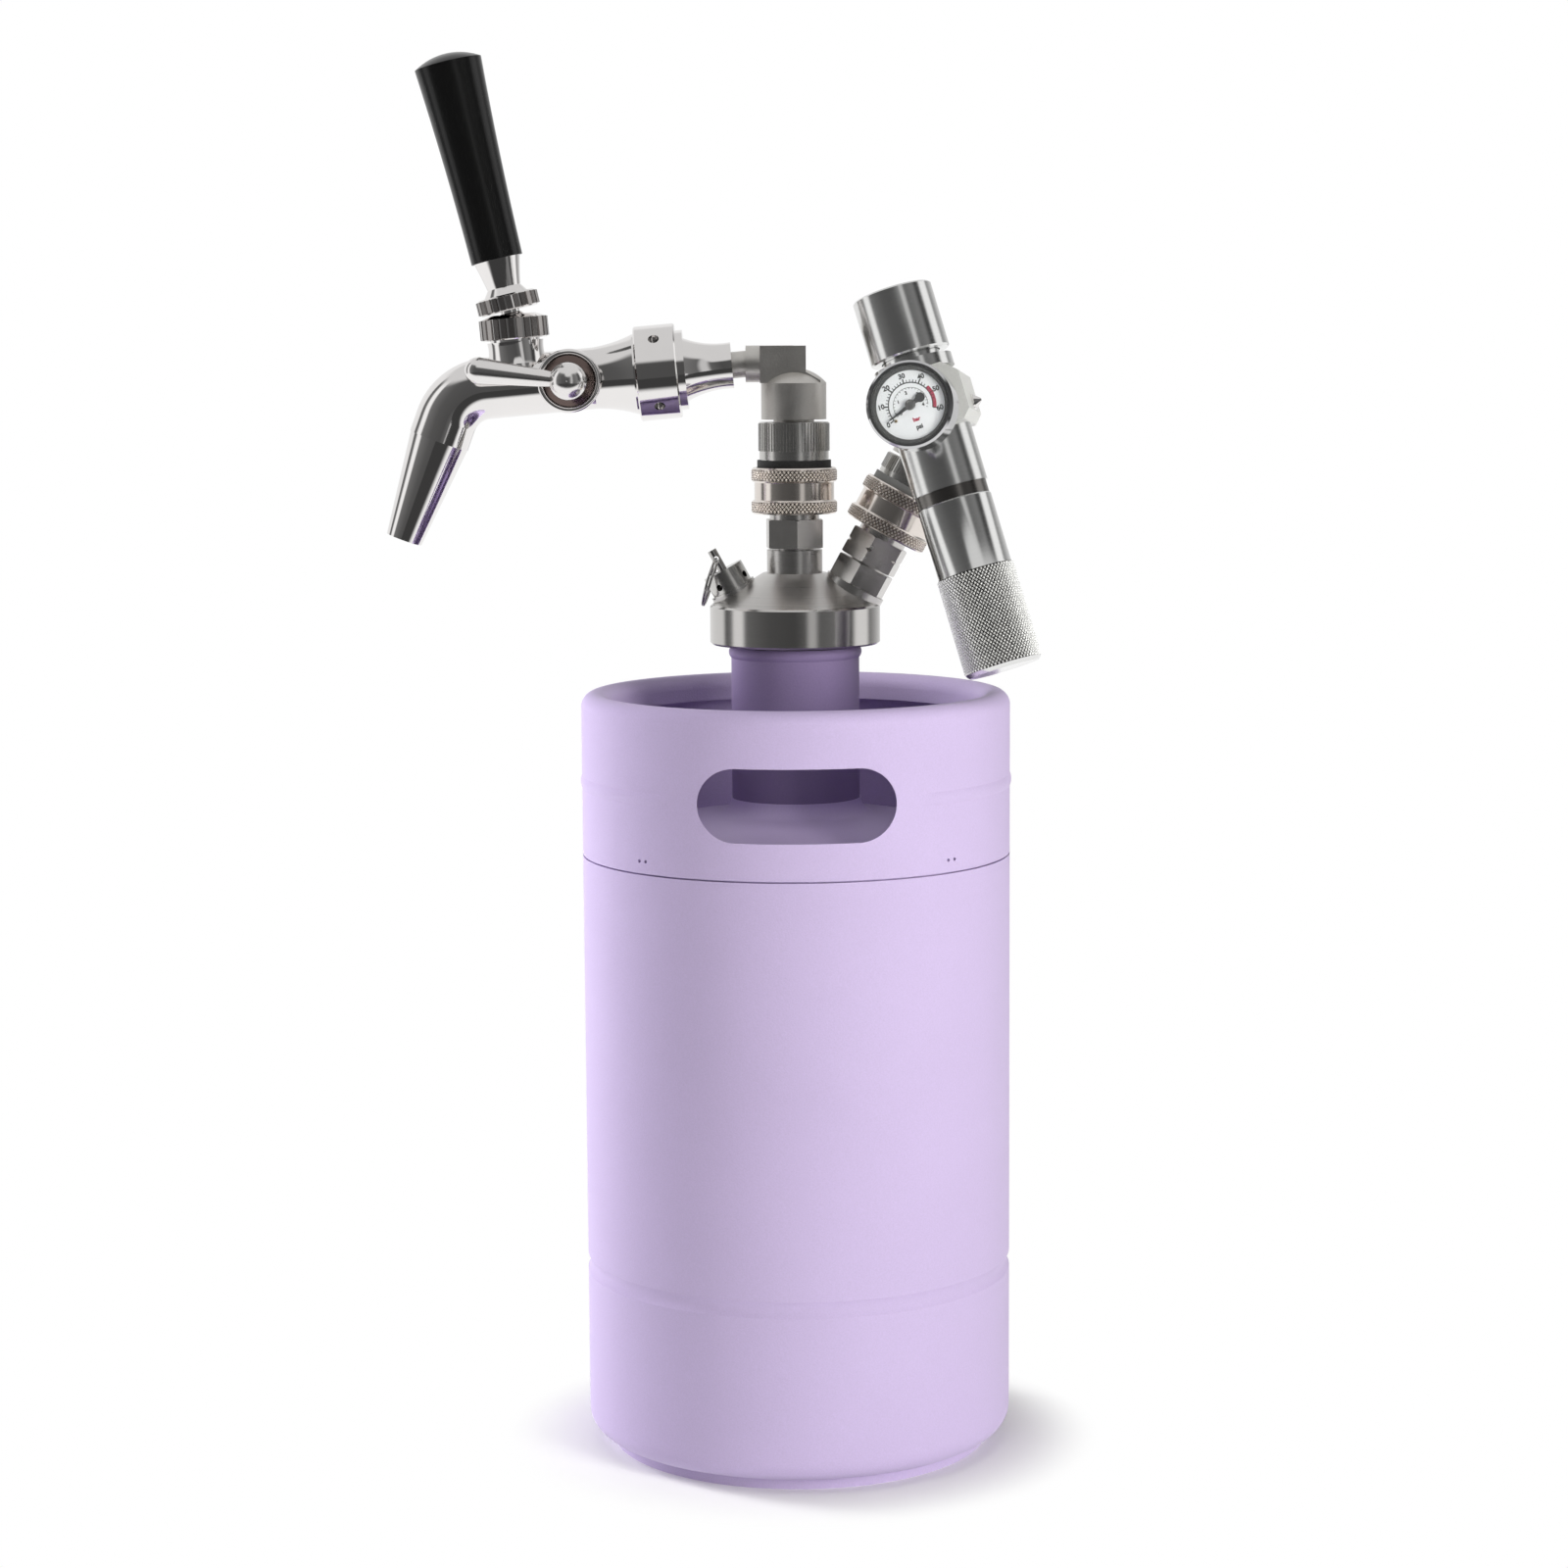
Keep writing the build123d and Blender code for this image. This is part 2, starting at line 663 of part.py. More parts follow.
PIVOT = TAP_ORIGIN + TAP_OUT * BONNET_S + TAP_UP * PIVOT_T
LEVER_UP = TAP_UP.rotate(Axis((0, 0, 0), (0, -1, 0)), LEVER_LEAN)
BONNET = aim(TAP_ORIGIN + TAP_OUT * BONNET_S, (0, 1, 0), TAP_UP)
LEVER = aim(PIVOT, Vector(0, 1, 0).cross(LEVER_UP), LEVER_UP)
FLOW = aim(TAP_ORIGIN + TAP_OUT * FLOW_S, TAP_OUT, (0, -1, 0))
TURN = math.radians(BEND_TURN)
NOZZLE_DIR = TAP_OUT * math.cos(TURN) - TAP_UP * math.sin(TURN)
BEND_END = TAP_OUT * (BEND_START + BEND_R * math.sin(TURN)) - TAP_UP * (BEND_R * (1 - math.cos(TURN)))
NOZZLE_ORIGIN = TAP_ORIGIN + BEND_END + NOZZLE_DIR * BEND_TAIL
NOZZLE = aim(NOZZLE_ORIGIN, (0, 1, 0), NOZZLE_DIR)


def cap_gasket():
    """Soft ring between the neck's lip and the cap."""
    return ring(NECK_R, NECK_BORE_R, NECK_TOP_Z, CAP_Z)


def cap_body():
    """Screw cap: spigot, rim, cone with raised pads for two ports, and the liquid boss with its nipple."""
    boss_z = CONE_TOP_Z + BOSS_H
    nipple_z = CONE_TOP_Z + NIPPLE_TOP
    bore = SPEAR_R + RUN
    body = turned(
        (HOLLOW_R, CAP_Z - SPIGOT_L),
        (SPIGOT_R, CAP_Z - SPIGOT_L),
        (SPIGOT_R, CAP_Z),
        (CAP_R - CAP_EDGE, CAP_Z),
        (CAP_R, CAP_Z + CAP_EDGE),
        (CAP_R, CAP_TOP_Z - CAP_EDGE),
        (CAP_R - CAP_EDGE, CAP_TOP_Z),
        (CONE_TOP_R, CONE_TOP_Z),
        (BOSS_R, CONE_TOP_Z),
        (BOSS_R, boss_z),
        (NIPPLE_R, boss_z),
        (NIPPLE_R, nipple_z),
        (bore, nipple_z),
        (bore, HOLLOW_Z),
        (HOLLOW_R, HOLLOW_Z),
    )
    depth = 2 * PORT_THREAD_L
    face_r = HEX_AF / math.sqrt(3) + SEAT
    body += GAS * rod(face_r, -PAD_ROOT, 0) + PRV * rod(PRV_FLANGE_R + SEAT, -PAD_ROOT, 0)
    gas_cut = rod(face_r + CLEAR, 0, CONE_H) + rod(PORT_THREAD_R + SEAT, -PORT_THREAD_L - CLEAR, 0)
    gas_cut += rod(PORT_BORE_R, -depth, 0)
    prv_cut = rod(PRV_FLANGE_R + CLEAR, 0, CONE_H) + rod(PRV_THREAD_R + SEAT, -PRV_THREAD_L - CLEAR, 0)
    prv_cut += rod(PORT_BORE_R, -depth, 0)
    return body - GAS * gas_cut - PRV * prv_cut


def spear_tube():
    """Tube that draws the drink from the vessel's floor, with the flange that the post clamps."""
    low = VESSEL_BOTTOM_Z + VESSEL_WALL + SPEAR_TO_FLOOR
    top = CONE_TOP_Z + SPEAR_TOP
    tube = ring(SPEAR_R, SPEAR_R - SPEAR_WALL, low, top)
    return tube + ring(SPEAR_FLANGE_R, SPEAR_R - SPEAR_WALL, top - SPEAR_FLANGE_T, top)


def gas_adapter():
    """Hexagon fitting that screws into the cone and carries the gas post."""
    body = hexagon(HEX_AF, 0, BOSS_H, HEX_EDGE) + rod(NIPPLE_R, BOSS_H, SPEAR_TOP)
    body += rod(PORT_THREAD_R, -PORT_THREAD_L, 0)
    return body - rod(PORT_BORE_R, -PORT_THREAD_L, SPEAR_TOP)


def post(notched):
    """Valve post: hexagon, barrel with ball and seal grooves; a gas post has notched hexagon corners."""
    counter_top = SPEAR_TOP + SEAT
    lip = POST_TOP - POST_LIP_H
    body = hexagon(HEX_AF, POST_LOW, HEX_TOP, HEX_EDGE)
    if notched:
        corner = HEX_AF / math.sqrt(3)
        middle = (POST_LOW + HEX_TOP) / 2
        body -= turned(
            (corner - NOTCH_D, middle),
            (corner + NOTCH_D, middle - 2 * NOTCH_D),
            (corner + NOTCH_D, middle + 2 * NOTCH_D),
        )
    body += turned(
        (0, HEX_TOP), (POST_R, HEX_TOP), (POST_R, POST_TOP - ORING_R),
        (POST_R - ORING_R, POST_TOP), (0, POST_TOP),
    )
    body -= rod(NIPPLE_R + SEAT, POST_LOW, counter_top)
    body -= rod(POST_BORE_R, counter_top, lip)
    body -= rod(POST_LIP_R, lip, POST_TOP)
    groove = Plane.XZ * Pos(LOCK_PITCH_R, LOCK_BALL_D) * Circle(LOCK_BALL_R + CLEAR)
    body -= revolve(groove, Axis.Z)
    seat_r = SOCKET_R - RUN - 2 * ORING_R - SEAT
    half = ORING_R + SEAT
    return body - ring(SOCKET_R, seat_r, ORING_D - half, ORING_D + half)


def post_oring():
    """Seal in the post's upper groove."""
    return Pos(0, 0, ORING_D) * Torus(SOCKET_R - RUN - ORING_R, ORING_R)


def post_poppet():
    """Poppet held open by the disconnect's push pin."""
    head = rod(POPPET_R, POPPET_TOP - POPPET_T, POPPET_TOP)
    return head + rod(POPPET_STEM_R, POPPET_TOP, POST_TOP - POPPET_OPEN)


def poppet_spring():
    """Spring under the poppet, standing on the clamped flange."""
    return coil(POPPET_COIL_R, WIRE_R, SPEAR_TOP + SEAT, POPPET_TOP - POPPET_T - SEAT, POPPET_TURNS)


def disconnect_body(grip_h):
    """Socket over the post: skirt with ball holes, web with the push pin, and the grip above."""
    web_top = WEB_LOW + WEB_T
    body = ring(SKIRT_R, SOCKET_R, SKIRT_LOW, WEB_LOW)
    body += rod(SKIRT_R, WEB_LOW, web_top)
    body += ring(GRIP_R, ELBOW_SPIGOT_R + SEAT, GRIP_LOW, GRIP_LOW + grip_h)
    for index in range(LOCK_BALLS):
        hole = Rot(0, 90, 0) * rod(LOCK_BALL_R + RUN, SOCKET_R - SOCKET_GAP, SKIRT_R + SOCKET_GAP)
        body -= Rot(0, 0, LOCK_BALL_START + index * 360 / LOCK_BALLS) * Pos(0, 0, LOCK_BALL_D) * hole
        port = Pos(SKIRT_R / 2, 0, 0) * rod(PUSH_PIN_R, WEB_LOW, web_top)
        body -= Rot(0, 0, index * 360 / LOCK_BALLS) * port
    return body + rod(PUSH_PIN_R, POST_TOP - POPPET_OPEN + SEAT, WEB_LOW)


def lock_balls():
    """Balls in the skirt that drop into the post's groove."""
    balls = []
    for index in range(LOCK_BALLS):
        angle = LOCK_BALL_START + index * 360 / LOCK_BALLS
        balls.append(Rot(0, 0, angle) * Pos(LOCK_PITCH_R, 0, LOCK_BALL_D) * Sphere(LOCK_BALL_R))
    return Compound(balls)


def lock_collar():
    """Sliding collar with two raised bands, a release recess below and a spring pocket above."""
    low = COLLAR_LOW
    high = COLLAR_LOW + COLLAR_H
    bore = SKIRT_R + RUN
    release = LOCK_BALL_D - COLLAR_LIFT + LOCK_BALL_R - RUN
    pocket = low + POCKET_LOW
    slope = COLLAR_R - WAIST_R
    return turned(
        (POCKET_R - CLEAR, low),
        (COLLAR_R - CLEAR, low),
        (COLLAR_R, low + CLEAR),
        (COLLAR_R, low + WAIST_LOW - CLEAR),
        (WAIST_R, low + WAIST_LOW + slope - CLEAR),
        (WAIST_R, low + WAIST_HIGH - slope + CLEAR),
        (COLLAR_R, low + WAIST_HIGH + CLEAR),
        (COLLAR_R, high - CLEAR),
        (COLLAR_R - CLEAR, high),
        (POCKET_R, high),
        (POCKET_R, pocket),
        (bore, pocket),
        (bore, release),
        (POCKET_R - CLEAR, release - CLEAR),
    )


def collar_spring():
    """Spring that holds the sliding collar down."""
    return coil(COIL_R, WIRE_R, COLLAR_LOW + POCKET_LOW + SEAT, BUMPER_LOW - SEAT, COIL_TURNS)


def bumper_ring():
    """Soft ring above the collar, on the skirt."""
    return ring(BUMPER_R, SKIRT_R + SEAT, BUMPER_LOW, BUMPER_LOW + BUMPER_H)


def elbow(droop, grip_h, barrel_h):
    """Cast elbow: domed barrel, flat-sided block, outlet hub and stud; the stud droops by an angle."""
    lean = math.radians(droop)
    spigot = GRIP_LOW + grip_h - ELBOW_SPIGOT_L
    low = GRIP_LOW + grip_h + GRIP_GAP
    shoulder = low + barrel_h
    outlet = shoulder + OUTLET_RISE
    block_top = outlet + BLOCK_RISE
    dome_r, dome_z = dome_middle(ELBOW_R, DOME_H)
    body = rod(ELBOW_R, low, shoulder)
    body += turned(
        (0, shoulder),
        (ELBOW_R, shoulder),
        ((dome_r, shoulder + dome_z), (0, shoulder + DOME_H)),
    )
    block = Plane.XZ * outline(
        (-BLOCK_FRONT, shoulder),
        (-BLOCK_FRONT, block_top),
        (BLOCK_TOP_BACK, block_top),
        (BLOCK_TOP_BACK, shoulder + BLOCK_SLOPE_HIGH),
        (BLOCK_BACK, shoulder + BLOCK_SLOPE_LOW),
        (BLOCK_BACK, shoulder),
    )
    body += extrude(block, BLOCK_W / 2, both=True)
    outward = aim((0, 0, outlet), (0, 1, 0), (-1, 0, 0))
    stud = aim((-HUB_END, 0, outlet), (0, 1, 0), (-math.cos(lean), 0, -math.sin(lean)))
    body += outward * rod(HUB_R, 0, HUB_END)
    body += stud * rod(STUD_R, -STUD_R, STUD_L)
    body += rod(ELBOW_SPIGOT_R, spigot, low)
    body -= rod(FLOW_BORE_R, spigot, outlet)
    body -= outward * rod(FLOW_BORE_R, 0, HUB_END)
    return body - stud * rod(FLOW_BORE_R - CLEAR, -FLOW_BORE_R / 2, STUD_L)


def tap_shank():
    """Flared shank on the elbow's stud, with a ring outside the nut and a flange inside it."""
    stud_end = STUD_L + CLEAR
    stud_hole = STUD_R + SEAT
    waist = ((BELL_SMALL_R + BELL_LARGE_R) / 2 - BELL_HOLLOW, (BELL_START + BELL_END) / 2)
    return turned(
        (stud_hole, BELL_START),
        (BELL_SMALL_R, BELL_START),
        (waist, (BELL_LARGE_R, BELL_END)),
        (SHANK_RING_R, BELL_END),
        (SHANK_RING_R, NUT_LOW),
        (SHANK_R, NUT_LOW),
        (SHANK_R, SHANK_FLANGE_LOW),
        (BODY_FLANGE_R, SHANK_FLANGE_LOW),
        (BODY_FLANGE_R, WASHER_LOW),
        (SHANK_BORE_R, WASHER_LOW),
        (SHANK_BORE_R, stud_end),
        (stud_hole, stud_end),
    )


def shank_washer():
    """Sealing washer between the shank's flange and the tap body."""
    return ring(BODY_FLANGE_R, TUBE_BORE_R, WASHER_LOW, BODY_START)


def coupling_nut():
    """Round nut that draws the tap body on to the shank, with spanner holes round its middle."""
    bore = BODY_FLANGE_R + SEAT
    nut = turned(
        (SHANK_R + SEAT, NUT_LOW),
        (NUT_R - NUT_EDGE, NUT_LOW),
        (NUT_R, NUT_LOW + NUT_EDGE),
        (NUT_R, NUT_HIGH - NUT_EDGE),
        (NUT_R - NUT_EDGE, NUT_HIGH),
        (bore, NUT_HIGH),
        (bore, NUT_LOW + NUT_LIP),
        (SHANK_R + SEAT, NUT_LOW + NUT_LIP),
    )
    hole = Pos(0, 0, (NUT_LOW + NUT_HIGH) / 2) * Rot(0, 90, 0) * rod(NUT_HOLE_R, BODY_FLANGE_R, 2 * NUT_R)
    for index in range(NUT_HOLES):
        nut -= Rot(0, 0, NUT_HOLE_START + index * 360 / NUT_HOLES) * hole
    return nut


def bent_rod(radius, start, tail):
    """Round bar along the tap's axis, round its bend and on towards the nozzle."""
    middle = TURN / 2
    bend = ThreePointArc(
        (0, 0, BEND_START),
        (-BEND_R * (1 - math.cos(middle)), 0, BEND_START + BEND_R * math.sin(middle)),
        (-BEND_R * (1 - math.cos(TURN)), 0, BEND_START + BEND_R * math.sin(TURN)),
    )
    run_in = Line((0, 0, start), (0, 0, BEND_START))
    run_out = Line(bend @ 1, bend @ 1 + Vector(-math.sin(TURN), 0, math.cos(TURN)) * tail)
    return sweep(Pos(0, 0, start) * Circle(radius), path=Wire([run_in, bend, run_out]))


def tap_body():
    """Tap casting: flange, neck, bent tube, bonnet neck for the lever and boss for the flow control."""
    neck = ((BODY_FLANGE_R + TUBE_R) / 2 - BELL_HOLLOW / 2, (BODY_FLANGE_END + BODY_NECK_END) / 2)
    body = TAP * turned(
        (0, BODY_START),
        (BODY_FLANGE_R, BODY_START),
        (BODY_FLANGE_R, BODY_FLANGE_END),
        (neck, (TUBE_R, BODY_NECK_END)),
        (0, BODY_NECK_END),
    )
    body += TAP * bent_rod(TUBE_R, BODY_NECK_END - SEAT, BEND_TAIL)
    foot = TUBE_R - SEAT
    waist = ((foot + BONNET_NECK_R) / 2 - BELL_HOLLOW / 2, (BONNET_FOOT_T + BONNET_NECK_T) / 2)
    body += BONNET * turned(
        (0, 0),
        (foot, 0),
        (foot, BONNET_FOOT_T),
        (waist, (BONNET_NECK_R, BONNET_NECK_T)),
        (BONNET_THREAD_R, BONNET_NECK_T),
        (BONNET_THREAD_R, BONNET_STUB_TOP),
        (0, BONNET_STUB_TOP),
    )
    body += FLOW * rod(FLOW_BOSS_R, 0, FLOW_BOSS_Y)
    body -= TAP * bent_rod(TUBE_BORE_R, BODY_START, BEND_TAIL)
    body -= BONNET * rod(LEVER_BALL_R + RUN, 0, BONNET_STUB_TOP)
    return body - FLOW * rod(SPINDLE_R + RUN, 0, FLOW_BOSS_Y)


def nozzle():
    """Tapered nozzle whose spigot pushes into the end of the tap body."""
    outer = taper(NOZZLE_R, NOZZLE_TIP_R, 0, NOZZLE_L)
    spigot_r = TUBE_BORE_R - SEAT
    bore_r = spigot_r - NOZZLE_WALL
    outer += rod(spigot_r, -NOZZLE_SPIGOT_L, 0)
    outer -= rod(bore_r, -NOZZLE_SPIGOT_L, 0)
    return outer - taper(bore_r, NOZZLE_TIP_R - NOZZLE_WALL, 0, NOZZLE_L)


def bonnet_ring():
    """Serrated ring that screws on to the bonnet neck and keeps the lever's ball in."""
    bore = BONNET_THREAD_R + SEAT
    lip_z = BONNET_RING_TOP - BONNET_LIP_T
    lip_r = math.sqrt(LEVER_BALL_R**2 - (lip_z - PIVOT_T) ** 2) + CLEAR
    return turned(
        (bore, BONNET_RING_LOW),
        (BONNET_RING_R - CLEAR, BONNET_RING_LOW),
        (BONNET_RING_R, BONNET_RING_LOW + CLEAR),
        (BONNET_RING_R, BONNET_RING_TOP - BONNET_CHAMFER_H),
        (BONNET_RING_R - BONNET_CHAMFER_W, BONNET_RING_TOP),
        (lip_r, BONNET_RING_TOP),
        (lip_r, lip_z),
        (bore, lip_z),
    )


def tap_lever():
    """Lever spindle: pivot ball, threaded stem above and a finger with a small ball below."""
    body = Sphere(LEVER_BALL_R) + rod(LEVER_STEM_R, 0, LEVER_STEM_TOP)
    body += rod(FINGER_R, -PIVOT_T, 0)
    return body + Pos(0, 0, -PIVOT_T) * Sphere(FINGER_BALL_R)


def lever_ring():
    """Serrated lock ring on the lever's stem."""
    high = LEVER_RING_LOW + LEVER_RING_H
    return turned(
        (LEVER_STEM_R + SEAT, LEVER_RING_LOW),
        (LEVER_RING_R - LEVER_RING_EDGE, LEVER_RING_LOW),
        (LEVER_RING_R, LEVER_RING_LOW + LEVER_RING_EDGE),
        (LEVER_RING_R, high - LEVER_RING_EDGE),
        (LEVER_RING_R - LEVER_RING_EDGE, high),
        (LEVER_STEM_R + SEAT, high),
    )


def handle_ferrule():
    """Waisted metal ferrule between the lock ring and the grip."""
    waist_z = FERRULE_LOW + FERRULE_FOOT_H
    flare = ((FERRULE_WAIST_R + FERRULE_TOP_R) / 2 - SEAT, (waist_z + FERRULE_HIGH) / 2)
    return turned(
        (LEVER_STEM_R + SEAT, FERRULE_LOW),
        (FERRULE_FOOT_R, FERRULE_LOW),
        (FERRULE_WAIST_R, waist_z),
        (flare, (FERRULE_TOP_R, FERRULE_HIGH)),
        (LEVER_STEM_R + SEAT, FERRULE_HIGH),
    )


def handle_grip():
    """Moulded grip, waisted along its length and domed on top, blind-bored for the stem."""
    high = FERRULE_HIGH + GRIP_L
    waist = ((GRIP_LOW_R + GRIP_TOP_R) / 2 - GRIP_WAIST, FERRULE_HIGH + GRIP_L / 2)
    dome_r, dome_z = dome_middle(GRIP_TOP_R, GRIP_DOME)
    bore_top = LEVER_STEM_TOP + CLEAR
    return turned(
        (LEVER_STEM_R + SEAT, FERRULE_HIGH),
        (GRIP_LOW_R, FERRULE_HIGH),
        (waist, (GRIP_TOP_R, high)),
        ((dome_r, high + dome_z), (0, high + GRIP_DOME)),
        (0, bore_top),
        (LEVER_STEM_R + SEAT, bore_top),
    )


def tap_plunger():
    """Plunger in the tap's bore, slotted for the lever's finger."""
    body = rod(PLUNGER_R, FINGER_S - PLUNGER_BACK, FINGER_S + PLUNGER_FRONT)
    depth = PLUNGER_R + PLUNGER_SLOT_LOW
    wide = 2 * (FINGER_BALL_R + CLEAR)
    slot = Pos(depth / 2 - PLUNGER_SLOT_LOW, 0, FINGER_S) * Box(depth, wide, PLUNGER_SLOT_W)
    return body - slot


def plunger_seal():
    """Rubber disc on the plunger's front face."""
    low = FINGER_S + PLUNGER_FRONT
    return rod(PLUNGER_R, low, low + PLUNGER_SEAL_T)


def flow_gland():
    """Dished ring round the flow control's spindle."""
    high = FLOW_BOSS_Y + GLAND_T
    bore = SPINDLE_R + RUN
    dish = ((GLAND_R - GLAND_RIM + bore) / 2, high - GLAND_DISH)
    return turned(
        (bore, FLOW_BOSS_Y),
        (GLAND_R, FLOW_BOSS_Y),
        (GLAND_R, high - GLAND_RIM / 2),
        ((GLAND_R - GLAND_RIM / 2, high), (GLAND_R - GLAND_RIM, high - GLAND_RIM / 2)),
        (dish, (bore, high - GLAND_DISH)),
    )


def flow_lever():
    """Flow-control lever: ball, tapered rod, spindle and crank pin."""
    rod_end = FLOW_LEVER_L - FLOW_LEVER_LARGE_R
    arm = turned(
        (0, FLOW_BALL_R / 2),
        (FLOW_LEVER_SMALL_R, FLOW_BALL_R / 2),
        (FLOW_LEVER_LARGE_R, rod_end),
        (corner_arc(0, rod_end, FLOW_LEVER_LARGE_R, 1), (0, rod_end + FLOW_LEVER_LARGE_R)),
    )
    body = Rot(0, 0, 90) * Sphere(FLOW_BALL_R) + rod(SPINDLE_R, SPINDLE_END - FLOW_BALL_Y, 0)
    body += Rot(0, 0, -FLOW_LEVER_RISE) * Rot(0, 90, 0) * arm
    body = Pos(0, 0, FLOW_BALL_Y) * body
    return body + Pos(0, CRANK_R, 0) * rod(CRANK_PIN_R, CRANK_PIN_END, SPINDLE_END)


def flow_restrictor():
    """Cone in the tap's bore that the crank pin slides to choke the flow."""
    low = FLOW_S - RESTRICTOR_BACK
    body = rod(RESTRICTOR_R, low, FLOW_S + RESTRICTOR_FRONT)
    body += taper(SPINDLE_R, RESTRICTOR_R, low - RESTRICTOR_R, low)
    flat = SPINDLE_END - CLEAR
    slot_floor = CRANK_PIN_END - CLEAR
    long = 4 * RESTRICTOR_R
    body -= Pos(0, -flat - RESTRICTOR_R, FLOW_S) * Box(long, 2 * RESTRICTOR_R, 2 * long)
    slot = Box(long, 2 * RESTRICTOR_R, RESTRICTOR_SLOT_W)
    return body - Pos(0, -slot_floor - RESTRICTOR_R, FLOW_S) * slot


def prv_body():
    """Relief valve body with side vents, screwed into the cone."""
    body = rod(PRV_R, 0, PRV_H) + rod(PRV_FLANGE_R, 0, PRV_FLANGE_T)
    body += rod(PRV_THREAD_R, -PRV_THREAD_L, 0)
    body -= rod(PRV_CHAMBER_R, PRV_CHAMBER_LOW, PRV_H - PRV_ROOF)
    body -= rod(PRV_PIN_R + RUN, 0, PRV_H)
    body -= rod(PRV_SEAT_R, -PRV_THREAD_L, PRV_CHAMBER_LOW)
    vent = Pos(0, 0, PRV_VENT_Z) * Rot(0, 90, 0) * rod(PRV_VENT_R, PRV_CHAMBER_R / 2, 2 * PRV_R)
    for index in range(PRV_VENTS):
        body -= Rot(0, 0, PRV_VENT_TURN + index * 360 / PRV_VENTS) * vent
    return body


def prv_seal():
    """Rubber disc that closes the relief valve's seat."""
    return rod(PRV_CHAMBER_R - CLEAR, PRV_CHAMBER_LOW, PRV_CHAMBER_LOW + PRV_SEAL_T)


def prv_pin():
    """Pull pin with a spring plate below and an eye near its tip."""
    low = PRV_CHAMBER_LOW + PRV_SEAL_T
    body = rod(PRV_CHAMBER_R - CLEAR, low, PRV_PLATE_TOP) + rod(PRV_PIN_R, low, PRV_TIP)
    return body - Pos(0, 0, PRV_EYE) * Rot(90, 0, 0) * Cylinder(PRV_EYE_R, 4 * PRV_PIN_R)


def prv_spring():
    """Spring that keeps the relief valve shut."""
    return coil(PRV_COIL_R, WIRE_R, PRV_PLATE_TOP + SEAT, PRV_H - PRV_ROOF - SEAT, PRV_TURNS)


def prv_ring():
    """Pull ring hanging from the pin's eye."""
    lean = math.radians(PULL_RING_LEAN)
    hang = Vector(-math.sin(lean), 0, -math.cos(lean))
    eye = PRV_ORIGIN + PRV_AXIS * PRV_EYE
    middle = aim(eye + hang * PULL_RING_R, hang, Vector(0, 1, 0).cross(hang))
    return middle * Rot(PULL_RING_TURN, 0, 0) * Torus(PULL_RING_R, PULL_WIRE_R)


def regulator_body():
    """Regulator block with its tube below, threaded for the sleeve, and its ports."""
    block = Plane.XZ * outline(
        (-REG_TOP_HALF_W, REG_TOP),
        (REG_TOP_HALF_W, REG_TOP),
        (REG_HALF_W, REG_SHOULDER_HIGH),
        (REG_HALF_W, -REG_SHOULDER_LOW),
        (REG_TUBE_R, -REG_BOTTOM),
        (-REG_TUBE_R, -REG_BOTTOM),
        (-REG_HALF_W, -REG_SHOULDER_LOW),
        (-REG_HALF_W, REG_SHOULDER_HIGH),
    )
    body = extrude(block, REG_DEPTH, both=True)
    body += rod(REG_TUBE_R, REG_TUBE_END, -REG_BOTTOM)
    body += rod(REG_GROOVE_R, REG_GROOVE_END, REG_TUBE_END)
    body += rod(REG_THREAD_R, REG_THREAD_END, REG_GROOVE_END)
    body -= rod(REG_CHAMBER_R, REG_CHAMBER_LOW, REG_TOP)
    shoulder = -CARTRIDGE_TOP - CARTRIDGE_NECK_L
    body -= rod(CARTRIDGE_R + CLEAR / 2, REG_THREAD_END, shoulder)
    body -= rod(CARTRIDGE_NECK_R + CLEAR / 2, shoulder, -CARTRIDGE_TOP + CLEAR)
    stud_in = REG_REACH - HUB_END - STUD_L - CLEAR
    toward_elbow = Rot(-90, 0, 0)
    toward_gauge = Rot(90, 0, 0)
    body -= toward_elbow * rod(STUD_R + SEAT, stud_in, REG_DEPTH)
    return body - toward_gauge * rod(GAUGE_STEM_R + SEAT, REG_DEPTH - GAUGE_STEM_IN, REG_DEPTH)


def regulator_bonnet():
    """Bonnet over the piston: flange, tube for the range spring and a roof for the screw."""
    tube_low = REG_TOP + BONNET_FLANGE_T
    tube_high = tube_low + BONNET_TUBE_L
    body = rod(BONNET_FLANGE_R, REG_TOP, tube_low) + rod(BONNET_TUBE_R, tube_low, tube_high)
    body -= rod(REG_CHAMBER_R, REG_TOP, tube_high - BONNET_ROOF)
    return body - rod(SCREW_R + RUN, tube_low, tube_high)


def regulator_piston():
    """Piston that the gas pressure lifts against the range spring."""
    low = REG_TOP - PISTON_T
    return rod(REG_CHAMBER_R - RUN, low, REG_TOP) + rod(PISTON_STEM_R, low - PISTON_STEM_L, low)


def regulator_spring():
    """Range spring between the piston and the knob's screw."""
    return coil(RANGE_COIL_R, RANGE_WIRE_R, REG_TOP + SEAT, REG_TOP + RANGE_COIL_L, RANGE_TURNS)


def spring_plate():
    """Plate that the knob's screw presses on to the range spring."""
    return rod(SCREW_PLATE_R, SCREW_END - SCREW_PLATE_T, SCREW_END)


